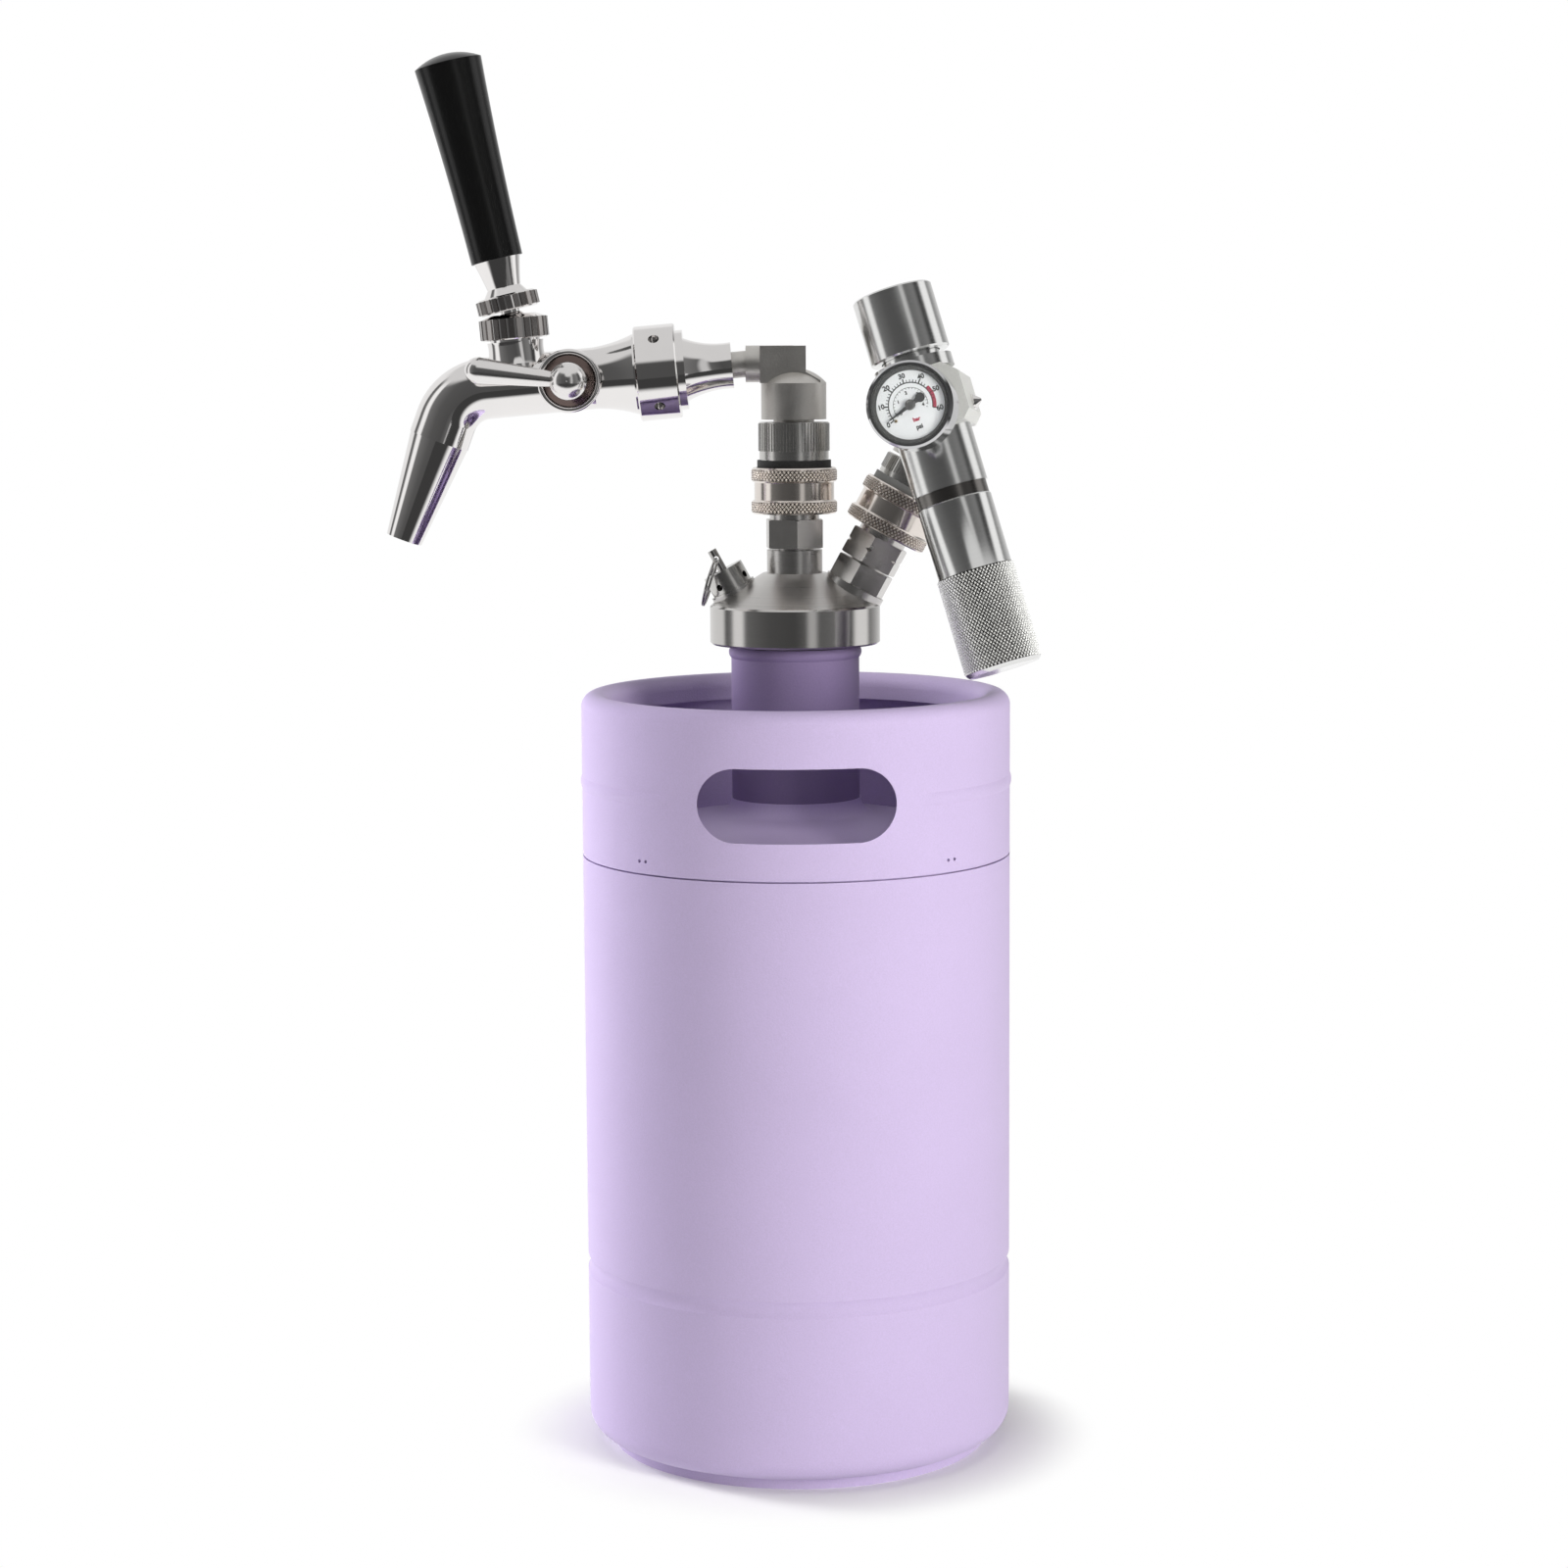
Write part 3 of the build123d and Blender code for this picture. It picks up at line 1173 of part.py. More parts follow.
def regulator_knob():
    """Pressure knob: smooth cup with a recessed top and its screw."""
    low = REG_TOP + BONNET_FLANGE_T + KNOB_GAP
    high = low + KNOB_H
    roof = high - KNOB_TOP_T
    cup = turned(
        (BONNET_TUBE_R + CLEAR, low),
        (KNOB_R - KNOB_EDGE, low),
        (KNOB_R, low + KNOB_EDGE),
        (KNOB_R, high - KNOB_EDGE),
        (KNOB_R - KNOB_EDGE, high),
        (KNOB_R - KNOB_EDGE - KNOB_RIM, high),
        (KNOB_R - KNOB_EDGE - KNOB_RIM, high - KNOB_RECESS),
        (0, high - KNOB_RECESS),
        (0, roof),
        (BONNET_TUBE_R + CLEAR, roof),
    )
    return cup + rod(SCREW_R, SCREW_END, roof)


def relief_valve():
    """Small burst plug on the side of the regulator block."""
    base = REG_HALF_W + RELIEF_BASE_L
    plug = rod(RELIEF_BASE_R, REG_HALF_W, base)
    plug += taper(RELIEF_BASE_R - CLEAR, RELIEF_TIP_R, base, base + RELIEF_CONE_L)
    return Pos(0, 0, -RELIEF_DROP) * Rot(0, 90, 0) * plug


def cartridge_sleeve():
    """Screw sleeve over the cartridge: plain upper part, thicker knurled lower part, closed end."""
    plain_end = SLEEVE_TOP - SLEEVE_PLAIN_L
    socket_end = SLEEVE_TOP - REG_THREAD_L - CLEAR
    bore = CARTRIDGE_R + CLEAR
    return turned(
        (REG_THREAD_R + RUN, SLEEVE_TOP),
        (SLEEVE_R - CLEAR, SLEEVE_TOP),
        (SLEEVE_R, SLEEVE_TOP - CLEAR),
        (SLEEVE_R, plain_end),
        (KNURL_R, plain_end - (KNURL_R - SLEEVE_R)),
        (KNURL_R, SLEEVE_END + KNURL_EDGE),
        (KNURL_R - KNURL_EDGE, SLEEVE_END),
        (0, SLEEVE_END),
        (0, SLEEVE_END + SLEEVE_FLOOR),
        (bore, SLEEVE_END + SLEEVE_FLOOR),
        (bore, socket_end),
        (REG_THREAD_R + RUN, socket_end),
    )


def co2_cartridge():
    """Gas cartridge with its neck up in the regulator and its base on the sleeve's floor."""
    base = SLEEVE_END + SLEEVE_FLOOR + SEAT
    neck_low = -CARTRIDGE_TOP - CARTRIDGE_NECK_L
    side_top = neck_low - CARTRIDGE_SHOULDER
    corner = (CARTRIDGE_R - CARTRIDGE_ROUND, base + CARTRIDGE_ROUND)
    middle = (CARTRIDGE_R + CARTRIDGE_NECK_R) / 2
    return turned(
        (0, base),
        (corner[0], base),
        (corner_arc(*corner, CARTRIDGE_ROUND, -1), (CARTRIDGE_R, corner[1])),
        (CARTRIDGE_R, side_top),
        (middle, neck_low - CARTRIDGE_SHOULDER / 3),
        (CARTRIDGE_NECK_R, neck_low - SEAT),
        (CARTRIDGE_NECK_R, -CARTRIDGE_TOP),
        (0, -CARTRIDGE_TOP),
    )


def gauge_case():
    """Round gauge case with its stem and nut; its cup faces the front."""
    body = turned(
        (0, GAUGE_BACK),
        (GAUGE_R - GAUGE_EDGE, GAUGE_BACK),
        (GAUGE_R, GAUGE_BACK + GAUGE_EDGE),
        (GAUGE_R, GAUGE_FRONT - GAUGE_EDGE),
        (GAUGE_R - GAUGE_EDGE, GAUGE_FRONT),
        (GAUGE_R - GAUGE_RIM, GAUGE_FRONT),
        (GAUGE_R - GAUGE_RIM, DIAL_LOW),
        (0, DIAL_LOW),
    )
    body += rod(GAUGE_STEM_R, REG_DEPTH - GAUGE_STEM_IN, GAUGE_BACK)
    body += hexagon(GAUGE_NUT_AF, REG_DEPTH + CLEAR, GAUGE_BACK - GAUGE_STEM_SHOWN, HEX_EDGE)
    return body - rod(NEEDLE_SPINDLE_R + RUN, DIAL_LOW - GAUGE_CUP_D, DIAL_LOW)


def gauge_dial():
    """Dial plate with a hole for the needle's spindle."""
    return ring(GAUGE_R - GAUGE_RIM - SEAT, NEEDLE_SPINDLE_R + RUN, DIAL_LOW, DIAL_LOW + DIAL_T)


def gauge_needle():
    """Needle with its hub, counterweight tail and spindle, resting at zero."""
    low = DIAL_LOW + DIAL_T + NEEDLE_LIFT
    high = low + NEEDLE_T
    blade = outline(
        (0, -NEEDLE_W),
        (NEEDLE_L, 0),
        (0, NEEDLE_W),
        (-NEEDLE_TAIL, NEEDLE_W),
        (-NEEDLE_TAIL, -NEEDLE_W),
    )
    body = Pos(0, 0, low) * extrude(blade, NEEDLE_T) + rod(NEEDLE_HUB_R, low, high + NEEDLE_T)
    body += rod(NEEDLE_SPINDLE_R, DIAL_LOW - GAUGE_CUP_D + CLEAR, low)
    return Rot(0, 0, NEEDLE_ZERO) * body


def gauge_lens():
    """Clear window over the dial."""
    high = GAUGE_FRONT - LENS_SET
    return rod(GAUGE_R - GAUGE_RIM - SEAT, high - LENS_T, high)


GAUGE = REG * Rot(90, 0, 0)
LIQUID_POST = LIQUID * Rot(0, 0, LIQUID_HEX_TURN)

NODES = {
    "outer_shell": outer_shell(),
    "foot_ring": foot_ring(),
    "vacuum_cap": vacuum_cap(),
    "inner_vessel": inner_vessel(),
    "neck_tube": neck_tube(),
    "top_collar": top_collar(),
    "cap_gasket": cap_gasket(),
    "cap_body": cap_body(),
    "spear_tube": spear_tube(),
    "liquid_post": LIQUID_POST * post(notched=False),
    "gas_adapter": GAS * gas_adapter(),
    "gas_post": GAS * post(notched=True),
    "post_orings": Compound([LIQUID * post_oring(), GAS * post_oring()]),
    "post_poppets": Compound([LIQUID * post_poppet(), GAS * post_poppet()]),
    "poppet_springs": Compound([LIQUID * poppet_spring(), GAS * poppet_spring()]),
    "prv_body": PRV * prv_body(),
    "prv_seal": PRV * prv_seal(),
    "prv_pin": PRV * prv_pin(),
    "prv_spring": PRV * prv_spring(),
    "prv_ring": prv_ring(),
    "tap_shank": TAP * tap_shank(),
    "shank_washer": TAP * shank_washer(),
    "coupling_nut": TAP * coupling_nut(),
    "tap_body": tap_body(),
    "nozzle": NOZZLE * nozzle(),
    "bonnet_ring": BONNET * bonnet_ring(),
    "tap_lever": LEVER * tap_lever(),
    "lever_ring": LEVER * lever_ring(),
    "handle_ferrule": LEVER * handle_ferrule(),
    "handle_grip": LEVER * handle_grip(),
    "tap_plunger": TAP * tap_plunger(),
    "plunger_seal": TAP * plunger_seal(),
    "flow_gland": FLOW * flow_gland(),
    "flow_lever": FLOW * flow_lever(),
    "flow_restrictor": TAP * flow_restrictor(),
    "regulator_body": REG * regulator_body(),
    "regulator_bonnet": REG * regulator_bonnet(),
    "regulator_piston": REG * regulator_piston(),
    "regulator_spring": REG * regulator_spring(),
    "spring_plate": REG * spring_plate(),
    "regulator_knob": REG * regulator_knob(),
    "relief_valve": REG * relief_valve(),
    "cartridge_sleeve": REG * cartridge_sleeve(),
    "co2_cartridge": REG * co2_cartridge(),
    "gauge_case": GAUGE * gauge_case(),
    "gauge_dial": GAUGE * gauge_dial(),
    "gauge_needle": GAUGE * gauge_needle(),
    "gauge_lens": GAUGE * gauge_lens(),
}

for side, frame, droop, grip_h, barrel_h in (
    ("liquid", LIQUID, TAP_DROOP, GRIP_H, ELBOW_H),
    ("gas", GAS, 0, GAS_GRIP_H, GAS_ELBOW_H),
):
    NODES[f"{side}_disconnect"] = frame * disconnect_body(grip_h)
    NODES[f"{side}_lock_balls"] = frame * lock_balls()
    NODES[f"{side}_collar"] = frame * lock_collar()
    NODES[f"{side}_collar_spring"] = frame * collar_spring()
    NODES[f"{side}_bumper_ring"] = frame * bumper_ring()
    NODES[f"{side}_elbow"] = frame * elbow(droop, grip_h, barrel_h)

os.makedirs("parts", exist_ok=True)
for name, shape in NODES.items():
    export_step(shape, f"parts/{name}.step")
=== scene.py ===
"""Looks of an insulated mini keg: finishes for its solids, and the fine detail that stands on them."""

from __future__ import annotations

import json
import logging
import math
from dataclasses import dataclass, field
from enum import Enum
from typing import Any, Iterable, Sequence

import bmesh
import bpy
from mathutils import Matrix, Vector

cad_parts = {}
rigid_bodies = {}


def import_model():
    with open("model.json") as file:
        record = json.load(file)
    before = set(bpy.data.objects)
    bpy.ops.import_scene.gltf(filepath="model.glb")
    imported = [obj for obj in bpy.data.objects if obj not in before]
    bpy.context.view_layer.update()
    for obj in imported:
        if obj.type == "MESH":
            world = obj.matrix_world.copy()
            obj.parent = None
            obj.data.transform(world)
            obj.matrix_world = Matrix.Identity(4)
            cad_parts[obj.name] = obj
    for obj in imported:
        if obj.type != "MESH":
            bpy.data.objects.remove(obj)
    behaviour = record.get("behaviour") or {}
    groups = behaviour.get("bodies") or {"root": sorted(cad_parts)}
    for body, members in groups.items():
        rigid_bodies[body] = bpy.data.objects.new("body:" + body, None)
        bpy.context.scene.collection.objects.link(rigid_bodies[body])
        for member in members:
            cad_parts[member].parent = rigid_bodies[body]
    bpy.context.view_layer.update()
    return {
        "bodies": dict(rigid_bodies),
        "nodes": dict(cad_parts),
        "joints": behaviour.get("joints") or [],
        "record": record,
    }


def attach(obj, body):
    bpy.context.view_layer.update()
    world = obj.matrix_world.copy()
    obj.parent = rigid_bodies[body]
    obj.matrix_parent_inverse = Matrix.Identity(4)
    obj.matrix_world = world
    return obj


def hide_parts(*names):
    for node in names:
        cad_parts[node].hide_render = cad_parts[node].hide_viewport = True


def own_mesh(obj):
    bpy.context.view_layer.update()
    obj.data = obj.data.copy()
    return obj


LOG = logging.getLogger("mini_keg")
MM = 0.001
SHARP_EDGE = math.radians(32.0)
BOX_FACES = ((3, 2, 1, 0), (4, 5, 6, 7), (0, 1, 5, 4), (1, 2, 6, 5), (2, 3, 7, 6), (3, 0, 4, 7))
WHITE = (1.0, 1.0, 1.0, 1.0)

Point = tuple[float, float]
Triple = tuple[float, float, float]

REGULATOR_PLACE: Triple = (48.16019, -34.99060, 387.92482)
REGULATOR_SIDE: Triple = (0.93821, -0.16334, 0.30509)
REGULATOR_AXIS: Triple = (-0.27803, 0.16915, 0.94556)


class Sock:
    """A node's output socket that can be used in sums."""

    def __init__(self, graph: "Graph", socket: Any) -> None:
        """Keeps the graph and the socket."""
        self.graph = graph
        self.socket = socket

    def _math(self, operation: str, first: Any, second: Any) -> "Sock":
        """Adds one Math node.

        Args:
            operation: name of the Math node's operation.
            first: its first value or socket.
            second: its second value or socket.

        Returns:
            The node's output.
        """
        return self.graph.add(self.graph.math_node, {"operation": operation}, {0: first, 1: second})

    def __add__(self, other: Any) -> "Sock":
        """Sum."""
        return self._math("ADD", self, other)

    def __radd__(self, other: Any) -> "Sock":
        """Sum with the value first."""
        return self._math("ADD", other, self)

    def __sub__(self, other: Any) -> "Sock":
        """Difference."""
        return self._math("SUBTRACT", self, other)

    def __rsub__(self, other: Any) -> "Sock":
        """Difference with the value first."""
        return self._math("SUBTRACT", other, self)

    def __mul__(self, other: Any) -> "Sock":
        """Product."""
        return self._math("MULTIPLY", self, other)

    def __rmul__(self, other: Any) -> "Sock":
        """Product with the value first."""
        return self._math("MULTIPLY", other, self)

    def __truediv__(self, other: Any) -> "Sock":
        """Quotient."""
        return self._math("DIVIDE", self, other)

    def __mod__(self, other: Any) -> "Sock":
        """Remainder, never negative."""
        return self._math("FLOORED_MODULO", self, other)

    def power(self, other: Any) -> "Sock":
        """Power."""
        return self._math("POWER", self, other)

    def floor(self) -> "Sock":
        """Whole part."""
        return self._math("FLOOR", self, 0.0)

    def sine(self) -> "Sock":
        """Sine of an angle in radians."""
        return self._math("SINE", self, 0.0)

    def cosine(self) -> "Sock":
        """Cosine of an angle in radians."""
        return self._math("COSINE", self, 0.0)


class Graph:
    """A node tree with one method that adds any node."""

    math_node = "ShaderNodeMath"

    def __init__(self, tree: bpy.types.NodeTree) -> None:
        """Keeps the tree."""
        self.tree = tree

    def add(
        self,
        kind: str,
        settings: dict[str, Any] | None = None,
        inputs: dict[Any, Any] | None = None,
        output: Any = 0,
    ) -> Sock:
        """Adds a node, sets it and links it.

        Args:
            kind: the node's type.
            settings: attributes of the node; "stops" holds a ramp's (place, colour) pairs.
            inputs: values or sockets by input name or number.
            output: name or number of the output that is returned.

        Returns:
            One of the node's outputs.
        """
        node = self.tree.nodes.new(kind)
        for name, value in (settings or {}).items():
            if name == "stops":
                self._set_stops(node.color_ramp, value)
            else:
                setattr(node, name, value)
        for key, value in (inputs or {}).items():
            if isinstance(value, Sock):
                self.tree.links.new(value.socket, node.inputs[key])
            else:
                node.inputs[key].default_value = value
        return Sock(self, node.outputs[output])

    @staticmethod
    def _set_stops(ramp: bpy.types.ColorRamp, stops: Sequence[tuple[float, Sequence[float]]]) -> None:
        """Gives a colour ramp its stops."""
        while len(ramp.elements) < len(stops):
            ramp.elements.new(1.0)
        for element, (place, colour) in zip(ramp.elements, stops):
            element.position = place
            element.color = colour


class Surface(Graph):
    """A material's node tree with a Principled shader and Object coordinates."""

    def __init__(self, name: str) -> None:
        """Makes the material.

        Args:
            name: the material's name.
        """
        self.material = bpy.data.materials.new(name)
        self.material.use_nodes = True
        super().__init__(self.material.node_tree)
        self.shader = self.tree.nodes["Principled BSDF"]
        self.place = self.add("ShaderNodeTexCoord", output="Object")

    def constant(self, **values: Any) -> None:
        """Sets values that hold all over the surface, by socket name with _ for a space."""
        for name, value in values.items():
            self.shader.inputs[name.replace("_", " ")].default_value = value

    def drive(self, name: str, value: Sock) -> None:
        """Links a varying value to one of the shader's inputs."""
        self.tree.links.new(value.socket, self.shader.inputs[name])

    def noise(self, scale: float, detail: float = 2.0) -> Sock:
        """Noise over the surface.

        Args:
            scale: cells per metre.
            detail: octaves.

        Returns:
            A value from 0 to 1.
        """
        inputs = {"Vector": self.place, "Scale": scale, "Detail": detail}
        return self.add("ShaderNodeTexNoise", {"noise_dimensions": "3D"}, inputs)

    def along(self, axis: Triple) -> Sock:
        """Distance along a direction, in metres."""
        return self.add(
            "ShaderNodeVectorMath", {"operation": "DOT_PRODUCT"}, {0: self.place, 1: axis}, "Value"
        )

    def lines(self, axis: Triple, scale: float, detail: float = 3.0) -> Sock:
        """Fine turning lines round an axis.

        Args:
            axis: direction of the axis.
            scale: lines per metre.
            detail: octaves.

        Returns:
            A value from 0 to 1.
        """
        inputs = {"W": self.along(axis), "Scale": scale, "Detail": detail}
        return self.add("ShaderNodeTexNoise", {"noise_dimensions": "1D"}, inputs)

    def blend(self, share: Sock, first: Triple, second: Triple) -> Sock:
        """Mix of two colours.

        Args:
            share: share of the second colour.
            first: first colour.
            second: second colour.

        Returns:
            The mixed colour.
        """
        return self.mix(share, (*first, 1.0), (*second, 1.0))

    def tones(self, share: Sock, colour: Triple, span: Point) -> Sock:
        """Mix of a colour's darker and lighter tone, by the share of the lighter one."""
        dark, light = span
        return self.blend(share, shade(colour, dark), shade(colour, light))

    def mix(self, share: Sock, first: Any, second: Any) -> Sock:
        """Mix of two colour sockets or colours with alpha, by the share of the second."""
        return self.add("ShaderNodeMix", {"data_type": "RGBA"}, {0: share, 6: first, 7: second}, 2)

    def step(self, value: Sock, edge: float) -> Sock:
        """1 where a value is above an edge, else 0."""
        return self.add(self.math_node, {"operation": "GREATER_THAN"}, {0: value, 1: edge})

    def fade(self, value: Sock, start: float, end: float) -> Sock:
        """Smooth rise from 0 at one value to 1 at another."""
        inputs = {"Value": value, "From Min": start, "From Max": end}
        return self.add("ShaderNodeMapRange", {"interpolation_type": "SMOOTHSTEP"}, inputs)

    def bump(self, height: Sock, depth: float) -> None:
        """Raises the surface by a height from 0 to 1 times a depth in metres."""
        normal = self.add("ShaderNodeBump", None, {"Height": height, "Distance": depth})
        self.drive("Normal", normal)


def shade(colour: Triple, factor: float) -> Triple:
    """A colour made lighter or darker."""
    return tuple(min(1.0, value * factor) for value in colour)


def grey(tone: float) -> tuple[float, float, float, float]:
    """A grey with full alpha."""
    return tone, tone, tone, 1.0


@dataclass(frozen=True)
class PowderCoat:
    """Matt baked powder paint with a fine grain."""

    name: str
    colour: Triple
    roughness: float = 0.44
    spread: float = 0.16
    grain: float = 1700.0
    cloud: float = 18.0
    cloud_share: float = 0.3
    tones: Point = (0.86, 1.14)
    depth: float = 0.00006
    sheen: float = 0.4

    def make(self) -> bpy.types.Material:
        """Builds the material."""
        surface = Surface(self.name)
        cloud = surface.noise(self.cloud, detail=3.0)
        speck = surface.noise(self.grain)
        tone = cloud * self.cloud_share + speck * (1 - self.cloud_share)
        surface.drive("Base Color", surface.tones(tone, self.colour, self.tones))
        surface.drive("Roughness", self.roughness + speck * self.spread)
        surface.bump(speck, self.depth)
        surface.constant(Specular_IOR_Level=self.sheen)
        return surface.material


@dataclass(frozen=True)
class TurnedMetal:
    """Metal turned on a lathe, with fine lines round its axis; it may be duller above a height."""

    name: str
    colour: Triple
    roughness: float
    axis: Triple = (0.0, 0.0, 1.0)
    scale: float = 2200.0
    patch: float = 90.0
    line_share: float = 0.7
    tones: Point = (0.90, 1.08)
    depth: float = 0.000004
    spread: float = 0.10
    satin_above: float = 1000.0
    satin: float = 0.14

    def make(self) -> bpy.types.Material:
        """Builds the material."""
        surface = Surface(self.name)
        line = surface.lines(self.axis, self.scale)
        patch = surface.noise(self.patch, detail=3.0)
        tone = line * self.line_share + patch * (1 - self.line_share)
        satin = surface.step(surface.along(self.axis), self.satin_above * MM) * self.satin
        mean = 0.5
        surface.drive("Base Color", surface.tones(tone, self.colour, self.tones))
        surface.drive("Roughness", self.roughness + (tone - mean) * self.spread + satin)
        surface.bump(line, self.depth)
        surface.constant(Metallic=1.0)
        return surface.material


@dataclass(frozen=True)
class MilledBlock:
    """Turned metal with a blasted, paler stretch between two heights along its axis."""

    name: str
    colour: Triple
    axis: Triple
    origin: Triple
    stretch: Point
    roughness: float = 0.16
    spread: float = 0.06
    scale: float = 2200.0
    tones: Point = (0.90, 1.08)
    depth: float = 0.000004
    pale: Triple = (0.70, 0.70, 0.69)
    palest: Triple = (0.80, 0.80, 0.79)
    grain: float = 1500.0
    blasted_rough: float = 0.30
    blasted_dull: float = 0.55

    def make(self) -> bpy.types.Material:
        """Builds the material."""
        surface = Surface(self.name)
        line = surface.lines(self.axis, self.scale)
        base = Vector(self.axis).dot(Vector(self.origin))
        height = surface.along(self.axis)
        low, high = (surface.step(height, (base + edge) * MM) for edge in self.stretch)
        blasted = low - high
        grain = surface.noise(self.grain)
        turned = surface.tones(line, self.colour, self.tones)
        pale = surface.blend(grain, self.pale, self.palest)
        surface.drive("Base Color", surface.mix(blasted, turned, pale))
        surface.drive("Roughness", self.roughness + line * self.spread + blasted * self.blasted_rough)
        surface.drive("Metallic", 1.0 - blasted * self.blasted_dull)
        surface.bump(line, self.depth)
        return surface.material


@dataclass(frozen=True)
class PolishedMetal:
    """Mirror-polished metal with faint handling marks."""

    name: str
    colour: Triple
    roughness: float = 0.06
    metallic: float = 1.0
    smudge: float = 70.0
    tones: Point = (0.95, 1.03)
    marks: float = 0.10
    sparse: float = 3.0

    def make(self) -> bpy.types.Material:
        """Builds the material."""
        surface = Surface(self.name)
        smudge = surface.noise(self.smudge, detail=4.0)
        surface.drive("Base Color", surface.tones(smudge, self.colour, self.tones))
        surface.drive("Roughness", self.roughness + smudge.power(self.sparse) * self.marks)
        surface.constant(Metallic=self.metallic)
        return surface.material


@dataclass(frozen=True)
class CastMetal:
    """Cast and tumbled metal with a fine uneven skin."""

    name: str
    colour: Triple
    roughness: float = 0.36
    grain: float = 1300.0
    depth: float = 0.00005
    grain_share: float = 0.4
    patch: float = 160.0
    tones: Point = (0.82, 1.12)
    spread: float = 0.16

    def make(self) -> bpy.types.Material:
        """Builds the material."""
        surface = Surface(self.name)
        grain = surface.noise(self.grain, detail=3.0)
        patch = surface.noise(self.patch, detail=3.0)
        tone = grain * self.grain_share + patch * (1 - self.grain_share)
        surface.drive("Base Color", surface.tones(tone, self.colour, self.tones))
        surface.drive("Roughness", self.roughness - self.spread / 2 + patch * self.spread)
        surface.bump(grain, self.depth)
        surface.constant(Metallic=1.0)
        return surface.material


@dataclass(frozen=True)
class Moulded:
    """Moulded plastic, rubber or enamel with a fine skin."""

    name: str
    colour: Triple
    roughness: float
    grain: float = 900.0
    depth: float = 0.00001
    sheen: float = 0.5
    patch: float = 60.0
    tones: Point = (0.9, 1.1)
    spread: float = 0.08

    def make(self) -> bpy.types.Material:
        """Builds the material."""
        surface = Surface(self.name)
        skin = surface.noise(self.grain)
        patch = surface.noise(self.patch, detail=3.0)
        surface.drive("Base Color", surface.tones(patch, self.colour, self.tones))
        surface.drive("Roughness", self.roughness - self.spread / 2 + patch * self.spread)
        surface.bump(skin, self.depth)
        surface.constant(Specular_IOR_Level=self.sheen)
        return surface.material


@dataclass(frozen=True)
class ClearGlass:
    """Thin clear window that lets the dial show."""

    name: str
    colour: Triple = (0.95, 0.97, 1.0)
    alpha: float = 0.03
    haze: float = 0.02
    roughness: float = 0.02
    spread: float = 0.03
    smudge: float = 120.0

    def make(self) -> bpy.types.Material:
        """Builds the material."""
        surface = Surface(self.name)
        smudge = surface.noise(self.smudge, detail=3.0)
        surface.drive("Roughness", self.roughness + smudge * self.spread)
        surface.drive("Alpha", self.alpha + smudge * self.haze)
        surface.constant(Base_Color=(*self.colour, 1.0))
        return surface.material


class Finish(Enum):
    """Every finish on the keg, by what it covers."""

    COAT = PowderCoat("lilac_coat", (0.50, 0.410, 0.640))
    # The neck's coat is the lilac coat made darker: painted shade for the neck under the cap, inside the
    # collar.
    NECK = PowderCoat("neck_coat", (0.205, 0.155, 0.290))
    CAP = TurnedMetal("cap_steel", (0.60, 0.585, 0.57), 0.15, satin_above=317.5)
    STEEL = TurnedMetal("turned_steel", (0.62, 0.61, 0.59), 0.22)
    HEXAGON = CastMetal("hexagon_steel", (0.62, 0.60, 0.58), 0.24, 700.0, 0.00001)
    CAST = CastMetal("cast_steel", (0.66, 0.64, 0.61), 0.44)
    BRIGHT = PolishedMetal("polished_steel", (0.84, 0.82, 0.81), 0.05)
    LEVER = PolishedMetal("satin_lever", (0.84, 0.82, 0.81), 0.15)
    # The fluted lands are a darker copy of the polished steel: painted dark reflection.
    LAND = PolishedMetal("fluted_land", (0.40, 0.38, 0.37), 0.20)
    NICKEL = PolishedMetal("nickel_plate", (0.80, 0.74, 0.69), 0.14)
    WIRE = PolishedMetal("ring_wire", (0.46, 0.45, 0.44), 0.12)
    ALUMINIUM = TurnedMetal("satin_aluminium", (0.80, 0.80, 0.79), 0.16, REGULATOR_AXIS)
    BLOCK = MilledBlock("regulator_block", (0.80, 0.80, 0.79), REGULATOR_AXIS, REGULATOR_PLACE, (-7.4, 14.8))
    KNURLED = PolishedMetal("knurled_aluminium", (0.98, 0.98, 0.98), 0.20, 0.45)
    NICKEL_KNURL = PolishedMetal("knurled_nickel", (0.86, 0.79, 0.73), 0.20, 0.55)
    # A dark copy of the aluminium under the sleeve's knurl teeth: painted shade for the gaps between them.
    KNURL_ROOT = PolishedMetal("knurl_root", (0.14, 0.135, 0.13), 0.30)
    # A dark copy of the nickel under the collar's knurl teeth: painted shade for the gaps between them.
    NICKEL_ROOT = PolishedMetal("nickel_knurl_root", (0.22, 0.19, 0.17), 0.30)
    GROOVE = TurnedMetal("dark_groove", (0.20, 0.19, 0.18), 0.22, REGULATOR_AXIS)
    # A dark copy of the polished steel for the gland's dish: painted reflection of the dark studio front.
    DISH = PolishedMetal("gland_dish", (0.17, 0.13, 0.12), 0.12)
    BEZEL = PolishedMetal("bezel_chrome", (0.62, 0.62, 0.63), 0.08)
    BRASS = PolishedMetal("brass", (0.78, 0.57, 0.27), 0.20)
    HANDLE = Moulded("black_handle", (0.004, 0.004, 0.0042), 0.22, 400.0, 0.000002, 0.32)
    RUBBER = Moulded("black_rubber", (0.018, 0.018, 0.018), 0.62)
    GREY_RUBBER = Moulded("grey_rubber", (0.40, 0.40, 0.39), 0.6)
    ACETAL = Moulded("white_acetal", (0.75, 0.75, 0.72), 0.4)
    ENAMEL = Moulded("dial_enamel", (0.86, 0.88, 0.93), 0.42)
    INK = Moulded("dial_ink", (0.01, 0.01, 0.012), 0.5)
    RED_INK = Moulded("dial_red", (0.46, 0.012, 0.06), 0.5)
    GLASS = ClearGlass("gauge_glass")


